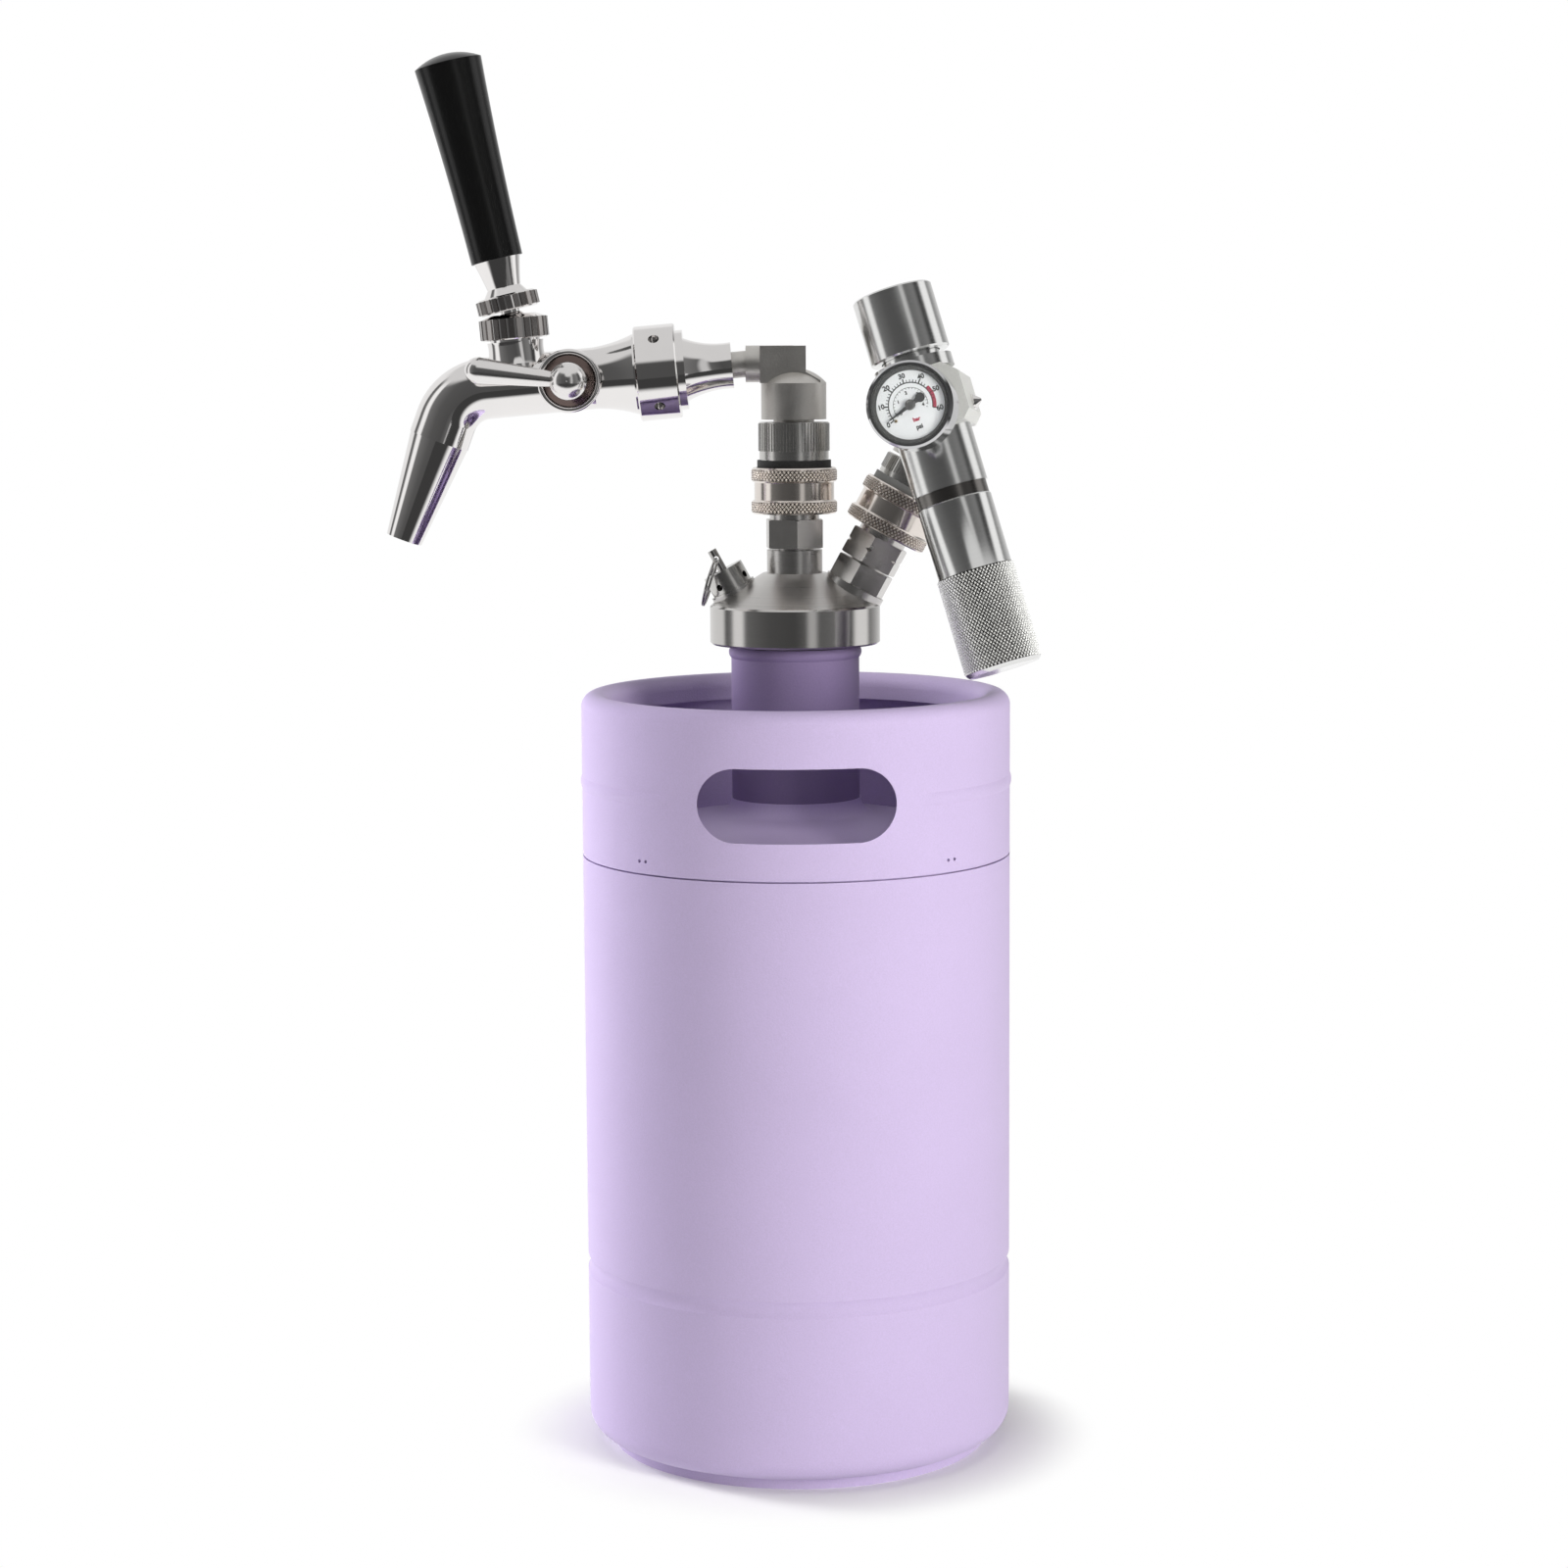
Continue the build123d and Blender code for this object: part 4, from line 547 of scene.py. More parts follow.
class Paintbox:
    """Materials made on first use."""

    def __init__(self) -> None:
        """Starts empty."""
        self._made: dict[Finish, bpy.types.Material] = {}

    def get(self, finish: Finish) -> bpy.types.Material:
        """The material of a finish."""
        if finish not in self._made:
            self._made[finish] = finish.value.make()
        return self._made[finish]


def placed(origin: Triple, x_dir: Triple, z_dir: Triple) -> Matrix:
    """Frame of a sub-assembly.

    Args:
        origin: its origin in millimetres.
        x_dir: its x direction.
        z_dir: its z direction.

    Returns:
        Matrix from its own metres to the keg's.
    """
    z_axis = Vector(z_dir).normalized()
    x_axis = Vector(x_dir).normalized()
    y_axis = z_axis.cross(x_axis)
    matrix = Matrix((x_axis, y_axis, z_axis)).transposed().to_4x4()
    matrix.translation = Vector(origin) * MM
    return matrix


def solid(name: str, mesh: bmesh.types.BMesh) -> bpy.types.Object:
    """Turns a bmesh into an object in the scene.

    Args:
        name: name of the piece.
        mesh: its faces; it is freed.

    Returns:
        The object.
    """
    bmesh.ops.remove_doubles(mesh, verts=mesh.verts, dist=1e-7)
    bmesh.ops.recalc_face_normals(mesh, faces=mesh.faces)
    data = bpy.data.meshes.new(name)
    mesh.to_mesh(data)
    mesh.free()
    data.polygons.foreach_set("use_smooth", [True] * len(data.polygons))
    data.set_sharp_from_angle(angle=SHARP_EDGE)
    item = bpy.data.objects.new(name, data)
    bpy.context.collection.objects.link(item)
    return item


def lathe(profile: Iterable[Point], segments: int = 128) -> bmesh.types.BMesh:
    """Turns a closed outline round the z axis.

    Args:
        profile: (radius, height) points in millimetres, in order.
        segments: steps round the axis.

    Returns:
        The turned faces, in metres.
    """
    mesh = bmesh.new()
    points = [(radius * MM, height * MM) for radius, height in profile]
    rings = []
    for radius, height in points:
        ring = []
        for step in range(segments if radius > 0 else 1):
            angle = 2 * math.pi * step / segments
            ring.append(mesh.verts.new((radius * math.cos(angle), radius * math.sin(angle), height)))
        rings.append(ring)
    for index, ring in enumerate(rings):
        after = rings[(index + 1) % len(rings)]
        if len(ring) == 1 and len(after) == 1:
            continue
        for step in range(segments):
            turn = (step + 1) % segments
            corners = [ring[step % len(ring)], ring[turn % len(ring)]]
            corners += [after[turn % len(after)], after[step % len(after)]]
            mesh.faces.new(dict.fromkeys(corners))
    return mesh


def skin(mesh: bmesh.types.BMesh, rows: Sequence[Sequence[bmesh.types.BMVert]]) -> None:
    """Joins closed outlines in order and closes both ends.

    Args:
        mesh: where the faces go.
        rows: the outlines' corners, the same number in each.
    """
    for row, after in zip(rows, rows[1:]):
        for corner, vert in enumerate(row):
            turn = (corner + 1) % len(row)
            mesh.faces.new((vert, row[turn], after[turn], after[corner]))
    mesh.faces.new(rows[0])
    mesh.faces.new(rows[-1])


def from_curve(curve: bpy.types.Curve) -> bmesh.types.BMesh:
    """Faces of a path or a text with its thickness."""
    source = bpy.data.objects.new(f"{curve.name}_source", curve)
    bpy.context.collection.objects.link(source)
    graph = bpy.context.evaluated_depsgraph_get()
    data = bpy.data.meshes.new_from_object(source.evaluated_get(graph))
    bpy.data.objects.remove(source)
    mesh = bmesh.new()
    mesh.from_mesh(data)
    return mesh


class Around(Graph):
    """Geometry Nodes tree that repeats a tooth in rows round an axis and joins it to a core."""

    sizes: tuple[tuple[str, str, Any], ...] = (
        ("Tooth", "NodeSocketObject", None),
        ("Count", "NodeSocketInt", 12),
        ("Rows", "NodeSocketInt", 1),
        ("Radius", "NodeSocketFloat", 0.01),
        ("Start", "NodeSocketFloat", 0.0),
        ("Step", "NodeSocketFloat", 0.1),
        ("Stagger", "NodeSocketFloat", 0.5),
        ("Low", "NodeSocketFloat", 0.0),
        ("Rise", "NodeSocketFloat", 0.001),
        ("Finish", "NodeSocketMaterial", None),
    )

    def __init__(self) -> None:
        """Builds the tree once."""
        super().__init__(bpy.data.node_groups.new("teeth_around_axis", "GeometryNodeTree"))
        face = self.tree.interface
        face.new_socket("Geometry", in_out="INPUT", socket_type="NodeSocketGeometry")
        face.new_socket("Geometry", in_out="OUTPUT", socket_type="NodeSocketGeometry")
        self.keys: dict[str, str] = {}
        for name, kind, value in self.sizes:
            socket = face.new_socket(name, in_out="INPUT", socket_type=kind)
            if value is not None:
                socket.default_value = value
            self.keys[name] = socket.identifier
        source = self.tree.nodes.new("NodeGroupInput")
        given = {socket.name: Sock(self, socket) for socket in source.outputs}
        index = self.add("GeometryNodeInputIndex")
        row = (index / given["Count"]).floor()
        column = index - row * given["Count"]
        angle = given["Start"] + (column + given["Stagger"] * (row % 2.0)) * given["Step"]
        spot = self.add(
            "ShaderNodeCombineXYZ",
            None,
            {
                0: angle.cosine() * given["Radius"],
                1: angle.sine() * given["Radius"],
                2: given["Low"] + row * given["Rise"],
            },
        )
        total = given["Count"] * given["Rows"]
        points = self.add("GeometryNodePoints", None, {"Count": total, "Position": spot})
        tooth = self.add("GeometryNodeObjectInfo", None, {"Object": given["Tooth"]}, "Geometry")
        turn = self.add("ShaderNodeCombineXYZ", None, {2: angle})
        facing = self.add("FunctionNodeEulerToRotation", None, {0: turn})
        teeth = self.add(
            "GeometryNodeInstanceOnPoints", None, {"Points": points, "Instance": tooth, "Rotation": facing}
        )
        flat = self.add("GeometryNodeRealizeInstances", None, {0: teeth})
        both = self.tree.nodes.new("GeometryNodeJoinGeometry")
        self.tree.links.new(flat.socket, both.inputs[0])
        self.tree.links.new(given["Geometry"].socket, both.inputs[0])
        joined = Sock(self, both.outputs[0])
        dressed = self.add("GeometryNodeSetMaterial", None, {"Geometry": joined, "Material": given["Finish"]})
        sink = self.tree.nodes.new("NodeGroupOutput")
        self.tree.links.new(dressed.socket, sink.inputs[0])

    def apply(self, item: bpy.types.Object, **values: Any) -> None:
        """Repeats teeth on a piece and makes the result a plain mesh.

        Args:
            item: the core that the teeth are joined to.
            values: the tree's inputs by name.
        """
        modifier = item.modifiers.new("teeth", "NODES")
        modifier.node_group = self.tree
        for name, value in values.items():
            modifier[self.keys[name]] = value
        graph = bpy.context.evaluated_depsgraph_get()
        mesh = bpy.data.meshes.new_from_object(item.evaluated_get(graph))
        item.modifiers.clear()
        item.data = mesh


class Workshop:
    """What the builders share: the frame, the materials and the tree for repeats."""

    def __init__(self, frame: dict[str, Any]) -> None:
        """Keeps the loaded frame.
        """
        self.frame = frame
        self.paint = Paintbox()
        self.around = Around()
        self.spares: list[bpy.types.Object] = []

    def dress(self, finish: Finish, *nodes: str) -> None:
        """Gives solids from the frame a finish."""
        for node in nodes:
            slots = self.frame["nodes"][node].data.materials
            slots.clear()
            slots.append(self.paint.get(finish))
            LOG.info("%s: %s", node, finish.name)

    def fit(
        self,
        item: bpy.types.Object,
        matrix: Matrix,
        body: str,
        finish: Finish,
        replaces: str | None = None,
    ) -> None:
        """Puts a finished piece in its place on a body.

        Args:
            item: the piece, in its own frame.
            matrix: where that frame sits.
            body: the body it moves with.
            finish: its finish.
            replaces: the solid it stands for, if any.
        """
        item.data.transform(matrix)
        if not item.data.materials:
            item.data.materials.append(self.paint.get(finish))
        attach(item, body)
        if replaces:
            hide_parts(replaces)
        LOG.info("%s: %d faces on %s", item.name, len(item.data.polygons), body)

    def tooth(self, name: str, corners: Sequence[Triple], faces: Sequence[Sequence[int]]) -> bpy.types.Object:
        """A tooth for repeats, from corners in millimetres: x outwards, y round, z along the axis."""
        mesh = bmesh.new()
        verts = [mesh.verts.new(Vector(corner) * MM) for corner in corners]
        for face in faces:
            mesh.faces.new([verts[index] for index in face])
        item = solid(name, mesh)
        self.spares.append(item)
        return item

    def diamond(self, name: str, width: float, height: float, depth: float) -> bpy.types.Object:
        """Flat-topped pyramid of a diamond knurl, sunk a little into its core."""
        sunk = -0.08
        top = 0.55
        corners = [
            (level, share * side * width / 2, share * rise * height / 2)
            for level, share in ((sunk, 1.0), (depth, top))
            for side, rise in ((-1, 0), (0, -1), (1, 0), (0, 1))
        ]
        faces = [(3, 2, 1, 0), (4, 5, 6, 7)]
        faces += [(corner, (corner + 1) % 4, (corner + 1) % 4 + 4, corner + 4) for corner in range(4)]
        return self.tooth(name, corners, faces)

    def bar(self, name: str, width: float, length: float, depth: float, bevel: float) -> bpy.types.Object:
        """Straight rib or land along the axis, with sloped sides and ends."""
        sunk = -0.15
        half = width / 2
        long = length / 2
        corners = (
            (sunk, -half, -long),
            (sunk, half, -long),
            (sunk, half, long),
            (sunk, -half, long),
            (depth, -half + bevel, -long + bevel),
            (depth, half - bevel, -long + bevel),
            (depth, half - bevel, long - bevel),
            (depth, -half + bevel, long - bevel),
        )
        return self.tooth(name, corners, BOX_FACES)

    def repeat(self, core: bpy.types.Object, tooth: bpy.types.Object, finish: Finish, **values: Any) -> None:
        """Joins rows of a tooth to a core.

        Args:
            core: the piece that carries them.
            tooth: the shape to repeat.
            finish: finish of the whole piece.
            values: the tree's sizes; lengths in millimetres, angles in radians.
        """
        lengths = {"Radius", "Low", "Rise"}
        sizes = {name: value * MM if name in lengths else value for name, value in values.items()}
        self.around.apply(core, Tooth=tooth, Finish=self.paint.get(finish), **sizes)

    def clear_spares(self) -> None:
        """Removes the shapes that were only there to be repeated."""
        for item in self.spares:
            bpy.data.objects.remove(item)
        self.spares.clear()


def empty_core(name: str) -> bpy.types.Object:
    """An object with no faces yet, for pieces that are only repeats."""
    return solid(name, bmesh.new())


def band(name: str, radius: float, proud: float, low: float, high: float) -> bpy.types.Object:
    """A thin ring laid on a round face.

    Args:
        name: name of the piece.
        radius: radius of the face.
        proud: how far the ring stands out of it.
        low: its lower end.
        high: its upper end.

    Returns:
        The ring.
    """
    sunk = 0.2
    inner, outer = radius - sunk, radius + proud
    return solid(name, lathe(((inner, low), (outer, low), (outer, high), (inner, high))))


@dataclass(frozen=True)
class Spring:
    """A coil copied from its solid, with the share of its length that stays after a travel."""

    node: str
    body: str
    joint: str
    axis: Triple
    travel: float

    def build(self, shop: Workshop) -> None:
        """Copies the spring's solid and logs the share of its length that stays after the travel; the axis
        points to its fixed end.
        """
        source = shop.frame["nodes"][self.node]
        mesh = source.data.copy()
        mesh.transform(source.matrix_world)
        mesh.materials.clear()
        item = bpy.data.objects.new(f"{self.node}_coil", mesh)
        bpy.context.collection.objects.link(item)
        shop.fit(item, Matrix.Identity(4), self.body, Finish.WIRE, self.node)
        axis = Vector(self.axis).normalized()
        ends = sorted((vertex.co for vertex in mesh.vertices), key=axis.dot)
        length = axis.dot(ends[-1] - ends[0])
        keep = 1 - self.travel * MM / length
        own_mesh(item)
        LOG.info("%s keeps %.2f of its length", self.node, keep)


@dataclass
class Disconnect:
    """Knurled sliding collar and ribbed grip of one ball-lock disconnect."""

    side: str
    matrix: Matrix
    body: str
    collar_body: str
    collar_lift: float = 3.0
    collar_low: float = 22.0
    collar_high: float = 39.0
    band_r: float = 15.38
    band_h: float = 5.0
    band_drop: float = 0.3
    band_edge: float = 0.5
    band_lip: float = 0.15
    rim_share: float = 0.6
    waist_r: float = 14.8
    waist_step: Point = (0.15, 0.2)
    pocket_r: float = 14.2
    pocket_h: float = 5.6
    bore_r: float = 12.62
    flare: float = 0.7
    flare_low: float = 1.2
    flare_high: float = 2.0
    knurls: int = 64
    knurl_depth: float = 0.5
    knurl_share: float = 0.88
    knurl_ratio: float = 1.15
    knurl_margin: float = 0.9
    root_proud: float = 0.06
    ribs: int = 66
    rib_share: float = 0.6
    rib_depth: float = 0.36
    rib_bevel: float = 0.14
    grip_r: float = 12.85
    grip_low: float = 45.0
    grip_high: float = 55.4

    def knurl_band(self, low: float, high: float) -> list[Point]:
        """Outline of a band with a lip at both edges of its knurl."""
        root, edge, lip = self.band_r, self.band_edge, self.band_lip
        rim = root + self.knurl_depth * self.rim_share
        return [
            (rim - edge, low),
            (rim, low + edge),
            (rim, low + edge + lip),
            (root, low + edge + 2 * lip),
            (root, high - edge - 2 * lip),
            (rim, high - edge - lip),
            (rim, high - edge),
            (rim - edge, high),
        ]

    def collar(self, shop: Workshop) -> None:
        """Builds the collar: two diamond-knurled bands with a smooth waist between."""
        low, high = self.collar_low, self.collar_high
        first_top = low + self.band_h
        second_low = high - self.band_h - self.band_drop
        out, rise = self.waist_step
        outline = [
            (self.bore_r + self.flare, low),
            *self.knurl_band(low, first_top),
            (self.waist_r + out, first_top),
            (self.waist_r, first_top + rise),
            (self.waist_r, second_low - rise),
            (self.waist_r + out, second_low),
            *self.knurl_band(second_low, high),
            (self.pocket_r, high),
            (self.pocket_r, high - self.pocket_h),
            (self.bore_r, high - self.pocket_h),
            (self.bore_r, low + self.flare_high),
            (self.bore_r + self.flare, low + self.flare_low),
        ]
        core = solid(f"{self.side}_knurled_collar", lathe(outline))
        step = 2 * math.pi / self.knurls
        width = self.band_r * step
        height = width * self.knurl_ratio
        share = self.knurl_share
        pyramid = shop.diamond(f"{self.side}_knurl", width * share, height * share, self.knurl_depth)
        knurls = empty_core(f"{self.side}_collar_knurls")
        tall = self.band_h - 2 * self.knurl_margin
        rows = int(tall / (height / 2)) + 1
        for level, edge in (("lower", low), ("upper", second_low)):
            base = edge + self.knurl_margin
            # The dark band under the teeth is painted shade for the gaps between them.
            dark = band(f"{self.side}_{level}_knurl_root", self.band_r, self.root_proud, base, base + tall)
            shop.fit(dark, self.matrix, self.collar_body, Finish.NICKEL_ROOT)
            shop.repeat(
                knurls,
                pyramid,
                Finish.NICKEL_KNURL,
                Count=self.knurls,
                Rows=rows,
                Radius=self.band_r,
                Step=step,
                Low=base + (tall - (rows - 1) * height / 2) / 2,
                Rise=height / 2,
            )
        shop.fit(core, self.matrix, self.collar_body, Finish.NICKEL, f"{self.side}_collar")
        shop.fit(knurls, self.matrix, self.collar_body, Finish.NICKEL_KNURL)

    def grip(self, shop: Workshop) -> None:
        """Builds the fine ribs on the grip, above a smooth band."""
        length = self.grip_high - self.grip_low
        step = 2 * math.pi / self.ribs
        width = self.grip_r * step * self.rib_share
        rib = shop.bar(f"{self.side}_rib", width, length, self.rib_depth, self.rib_bevel)
        core = empty_core(f"{self.side}_grip_ribs")
        middle = (self.grip_low + self.grip_high) / 2
        shop.repeat(core, rib, Finish.STEEL, Count=self.ribs, Radius=self.grip_r, Step=step, Low=middle)
        shop.fit(core, self.matrix, self.body, Finish.STEEL)

    def build(self, shop: Workshop) -> None:
        """Builds both pieces and dresses the solids of this side."""
        self.collar(shop)
        self.grip(shop)
        shop.dress(Finish.STEEL, f"{self.side}_disconnect", f"{self.side}_lock_balls")
        shop.dress(Finish.CAST, f"{self.side}_elbow")
        up = tuple(self.matrix.col[2].to_3d())
        lift = f"{self.side}_collar_lift"
        Spring(f"{self.side}_collar_spring", self.body, lift, up, self.collar_lift).build(shop)


@dataclass
class KegShell:
    """Painted shell, neck and collar, with the vessel inside."""

    painted: tuple[str, ...] = ("outer_shell", "top_collar", "foot_ring")
    bare: tuple[str, ...] = ("inner_vessel", "vacuum_cap")
    keg_r: float = 80.0
    bead_z: float = 252.0
    bead_w: float = 4.6
    bead_proud: float = 0.5
    bead_ends: tuple[Point, ...] = ((50.0, 1.0), (-50.0, -1.0), (130.0, -1.0), (230.0, 1.0))
    fade_arc: float = 10.0
    fade_steps: int = 14
    crest_steps: int = 10
    sunk: float = 0.02
    root: float = 0.4

    def bead_section(self, angle: float, proud: float) -> list[Vector]:
        """Closed outline across a bead, sunk a little into the wall.

        Args:
            angle: where it stands round the keg, in radians.
            proud: how far its crest stands out of the wall, in millimetres.

        Returns:
            Corners in metres, from the lower inner one to the upper inner one.
        """
        crest = [2 * step / self.crest_steps - 1 for step in range(self.crest_steps + 1)]
        outline = [(-self.root, -1.0)]
        outline += [(proud * (1 - rise * rise) - self.sunk, rise) for rise in crest]
        outline += [(-self.root, 1.0)]
        corners = []
        for out, rise in outline:
            radius = self.keg_r + out
            height = self.bead_z + rise * self.bead_w / 2
            corners.append(Vector((radius * math.cos(angle), radius * math.sin(angle), height)) * MM)
        return corners

    def fade_beads(self, shop: Workshop) -> None:
        """Runs the collar's beads out into its wall."""
        mesh = bmesh.new()
        for start, way in self.bead_ends:
            rows = []
            for station in range(self.fade_steps + 1):
                share = station / self.fade_steps
                angle = math.radians(start + way * share * self.fade_arc)
                proud = self.bead_proud * (1 + math.cos(math.pi * share)) / 2
                rows.append([mesh.verts.new(corner) for corner in self.bead_section(angle, proud)])
            skin(mesh, rows)
        shop.fit(solid("bead_ends", mesh), Matrix.Identity(4), "keg", Finish.COAT)

    def build(self, shop: Workshop) -> None:
        """Dresses the keg's solids."""
        shop.dress(Finish.COAT, *self.painted)
        # The neck gets the darker copy of the lilac coat: painted shade.
        shop.dress(Finish.NECK, "neck_tube")
        shop.dress(Finish.STEEL, *self.bare)
        self.fade_beads(shop)


@dataclass
class Head:
    """Screw cap with its posts and pull-ring relief valve."""

    valve: Matrix = field(
        default_factory=lambda: placed(
            (-22.7927, 0, 322.75209), (0.87631, 0, 0.48175), (-0.48175, 0, 0.87631)
        )
    )
    pin_travel: float = 3.0
    eye: Triple = (-29.15185, 0.0, 334.31934)
    ring_r: float = 9.0
    ring_wire_r: float = 0.45
    ring_lean: float = 16.0
    ring_turn: float = 6.0
    ring_pitch: float = 1.25
    ring_turns: float = 1.9
    ring_steps: int = 120
    wire_facets: int = 4
    cross_share: float = 0.62
    cross_rate: float = 9.0
    rib_r: float = 7.75
    rib_z: float = 6.4
    rib_l: float = 3.4
    rib_share: float = 0.62
    rib_depth: float = 0.22
    rib_bevel: float = 0.15
    rib_step: float = 2 * math.pi / 44
    rib_start: float = -1.36
    ribs: int = 5

    def split_ring(self, shop: Workshop) -> None:
        """Builds the pull ring: a wire of nearly two turns that hangs from the pin's eye."""
        lean = math.radians(self.ring_lean)
        hang = Vector((-math.sin(lean), 0, -math.cos(lean)))
        side = Matrix.Rotation(math.radians(self.ring_turn), 3, hang) @ Vector((0, 1, 0))
        out = side.cross(hang)
        curve = bpy.data.curves.new("pull_ring_path", "CURVE")
        curve.dimensions = "3D"
        spline = curve.splines.new("POLY")
        spline.points.add(self.ring_steps)
        total = self.ring_turns * 2 * math.pi
        for step, point in enumerate(spline.points):
            share = step / self.ring_steps
            angle = total * (share - 0.5)
            place = (
                Vector(self.eye)
                + hang * self.ring_r
                - hang * (self.ring_r * math.cos(angle))
                + side * (self.ring_r * math.sin(angle))
                - out * (self.ring_pitch * self._overlap(share))
            )
            point.co = (*(place * MM), 1.0)
        curve.bevel_depth = self.ring_wire_r * MM
        curve.bevel_resolution = self.wire_facets
        curve.use_fill_caps = True
        ring = solid("pull_ring", from_curve(curve))
        shop.fit(ring, Matrix.Identity(4), "relief_ring", Finish.WIRE, "prv_ring")

    def _overlap(self, share: float) -> float:
        """Sideways place of the wire: one turn beside the other, crossing opposite the eye."""
        past = (abs(share - 0.5) * 2 - self.cross_share) * self.ring_turns
        side = 1.0 if share > 0.5 else -1.0
        return side / (1.0 + math.exp(-past * self.cross_rate))

    def valve_ribs(self, shop: Workshop) -> None:
        """Builds the fine ribs round the relief valve's upper edge, away from its vents."""
        width = self.rib_r * self.rib_step * self.rib_share
        rib = shop.bar("valve_rib", width, self.rib_l, self.rib_depth, self.rib_bevel)
        core = empty_core("relief_valve_ribs")
        spread = {"Count": self.ribs, "Start": self.rib_start, "Step": self.rib_step}
        shop.repeat(core, rib, Finish.STEEL, Radius=self.rib_r, Low=self.rib_z, **spread)
        shop.fit(core, self.valve, "head", Finish.STEEL)

    def build(self, shop: Workshop) -> None:
        """Builds the ring and dresses the head's solids."""
        self.split_ring(shop)
        self.valve_ribs(shop)
        shop.dress(Finish.CAP, "cap_body", "spear_tube")
        shop.dress(Finish.HEXAGON, "liquid_post", "gas_post", "gas_adapter")
        shop.dress(Finish.STEEL, "prv_body", "post_poppets")
        shop.dress(Finish.WIRE, "prv_pin", "poppet_springs")
        up = tuple(self.valve.col[2].to_3d())
        Spring("prv_spring", "head", "relief_pull", up, self.pin_travel).build(shop)
        shop.dress(Finish.RUBBER, "cap_gasket", "post_orings", "prv_seal", "liquid_bumper_ring")
        shop.dress(Finish.GREY_RUBBER, "gas_bumper_ring")


@dataclass
class FlutedRing:
    """Ring with wide lands and narrow grooves round it."""

    name: str
    node: str
    matrix: Matrix
    body: str
    outline: tuple[Point, ...]
    radius: float
    low: float
    high: float
    lands: int = 26
    land_share: float = 0.76
    land_bevel: float = 0.18
    depth: float = 0.55

    def build(self, shop: Workshop) -> None:
        """Builds the ring and its lands."""
        core = solid(self.name, lathe(self.outline))
        step = 2 * math.pi / self.lands
        width = self.radius * step * self.land_share
        land = shop.bar(f"{self.name}_land", width, self.high - self.low, self.depth, self.land_bevel)
        lands = empty_core(f"{self.name}_lands")
        # The lands take a darker copy of the ring's polished steel: painted dark reflection.
        shop.repeat(
            lands,
            land,
            Finish.LAND,
            Count=self.lands,
            Radius=self.radius - self.depth,
            Step=step,
            Low=(self.low + self.high) / 2,
        )
        shop.fit(core, self.matrix, self.body, Finish.BRIGHT, self.node)
        shop.fit(lands, self.matrix, self.body, Finish.LAND)


@dataclass
class Tap:
    """Bright tap with its fluted rings, lever and flow control."""

    bonnet: Matrix = field(
        default_factory=lambda: placed((-101.18112, 0, 398.79635), (0, 1, 0), (-0.08716, 0, 0.99619))
    )
    lever: Matrix = field(
        default_factory=lambda: placed(
            (-103.04625, 0, 420.11492), (0.97318, 0, 0.23005), (-0.23005, 0, 0.97318)
        )
    )
    flow: Matrix = field(
        default_factory=lambda: placed((-82.1538, 0, 400.46102), (-0.99619, 0, -0.08716), (0, -1, 0))
    )
    dish_outline: tuple[Point, ...] = (
        *((3.2, 13.5), (6.5, 13.6), (9.2, 14.4)),
        *((9.25, 14.65), (6.5, 13.8), (3.2, 13.7)),
    )
    dish_steps: int = 96
    bonnet_outline: tuple[Point, ...] = (
        *((9.3, 17.0), (11.7, 17.0), (12.1, 17.4), (12.1, 24.7)),
        *((8.45, 26.1), (5.8, 26.1), (5.8, 24.9), (9.3, 24.9)),
    )
    lever_outline: tuple[Point, ...] = (
        *((3.7, 6.2), (10.4, 6.2), (11.0, 6.8)),
        *((11.0, 11.4), (10.2, 12.1), (3.7, 12.1)),
    )
    bright: tuple[str, ...] = (
        *("tap_shank", "coupling_nut", "tap_body", "nozzle"),
        *("tap_lever", "handle_ferrule", "flow_gland"),
    )

    def dish(self, shop: Workshop) -> None:
        """Builds a dark polished layer in the dish round the flow control's ball: a painted reflection of the
        dark studio front.
        """
        lining = solid("flow_dish_lining", lathe(self.dish_outline, self.dish_steps))
        shop.fit(lining, self.flow, "tap", Finish.DISH)

    def build(self, shop: Workshop) -> None:
        """Builds the rings and dresses the tap's solids."""
        self.dish(shop)
        FlutedRing(
            "bonnet_fluted_ring",
            "bonnet_ring",
            self.bonnet,
            "tap",
            self.bonnet_outline,
            radius=12.65,
            low=17.3,
            high=24.7,
        ).build(shop)
        FlutedRing(
            "lever_fluted_ring",
            "lever_ring",
            self.lever,
            "handle",
            self.lever_outline,
            radius=11.55,
            low=6.6,
            high=11.6,
        ).build(shop)
        shop.dress(Finish.BRIGHT, *self.bright)
        shop.dress(Finish.LEVER, "flow_lever")
        shop.dress(Finish.HANDLE, "handle_grip")
        shop.dress(Finish.RUBBER, "shank_washer", "plunger_seal")
        shop.dress(Finish.ACETAL, "tap_plunger", "flow_restrictor")


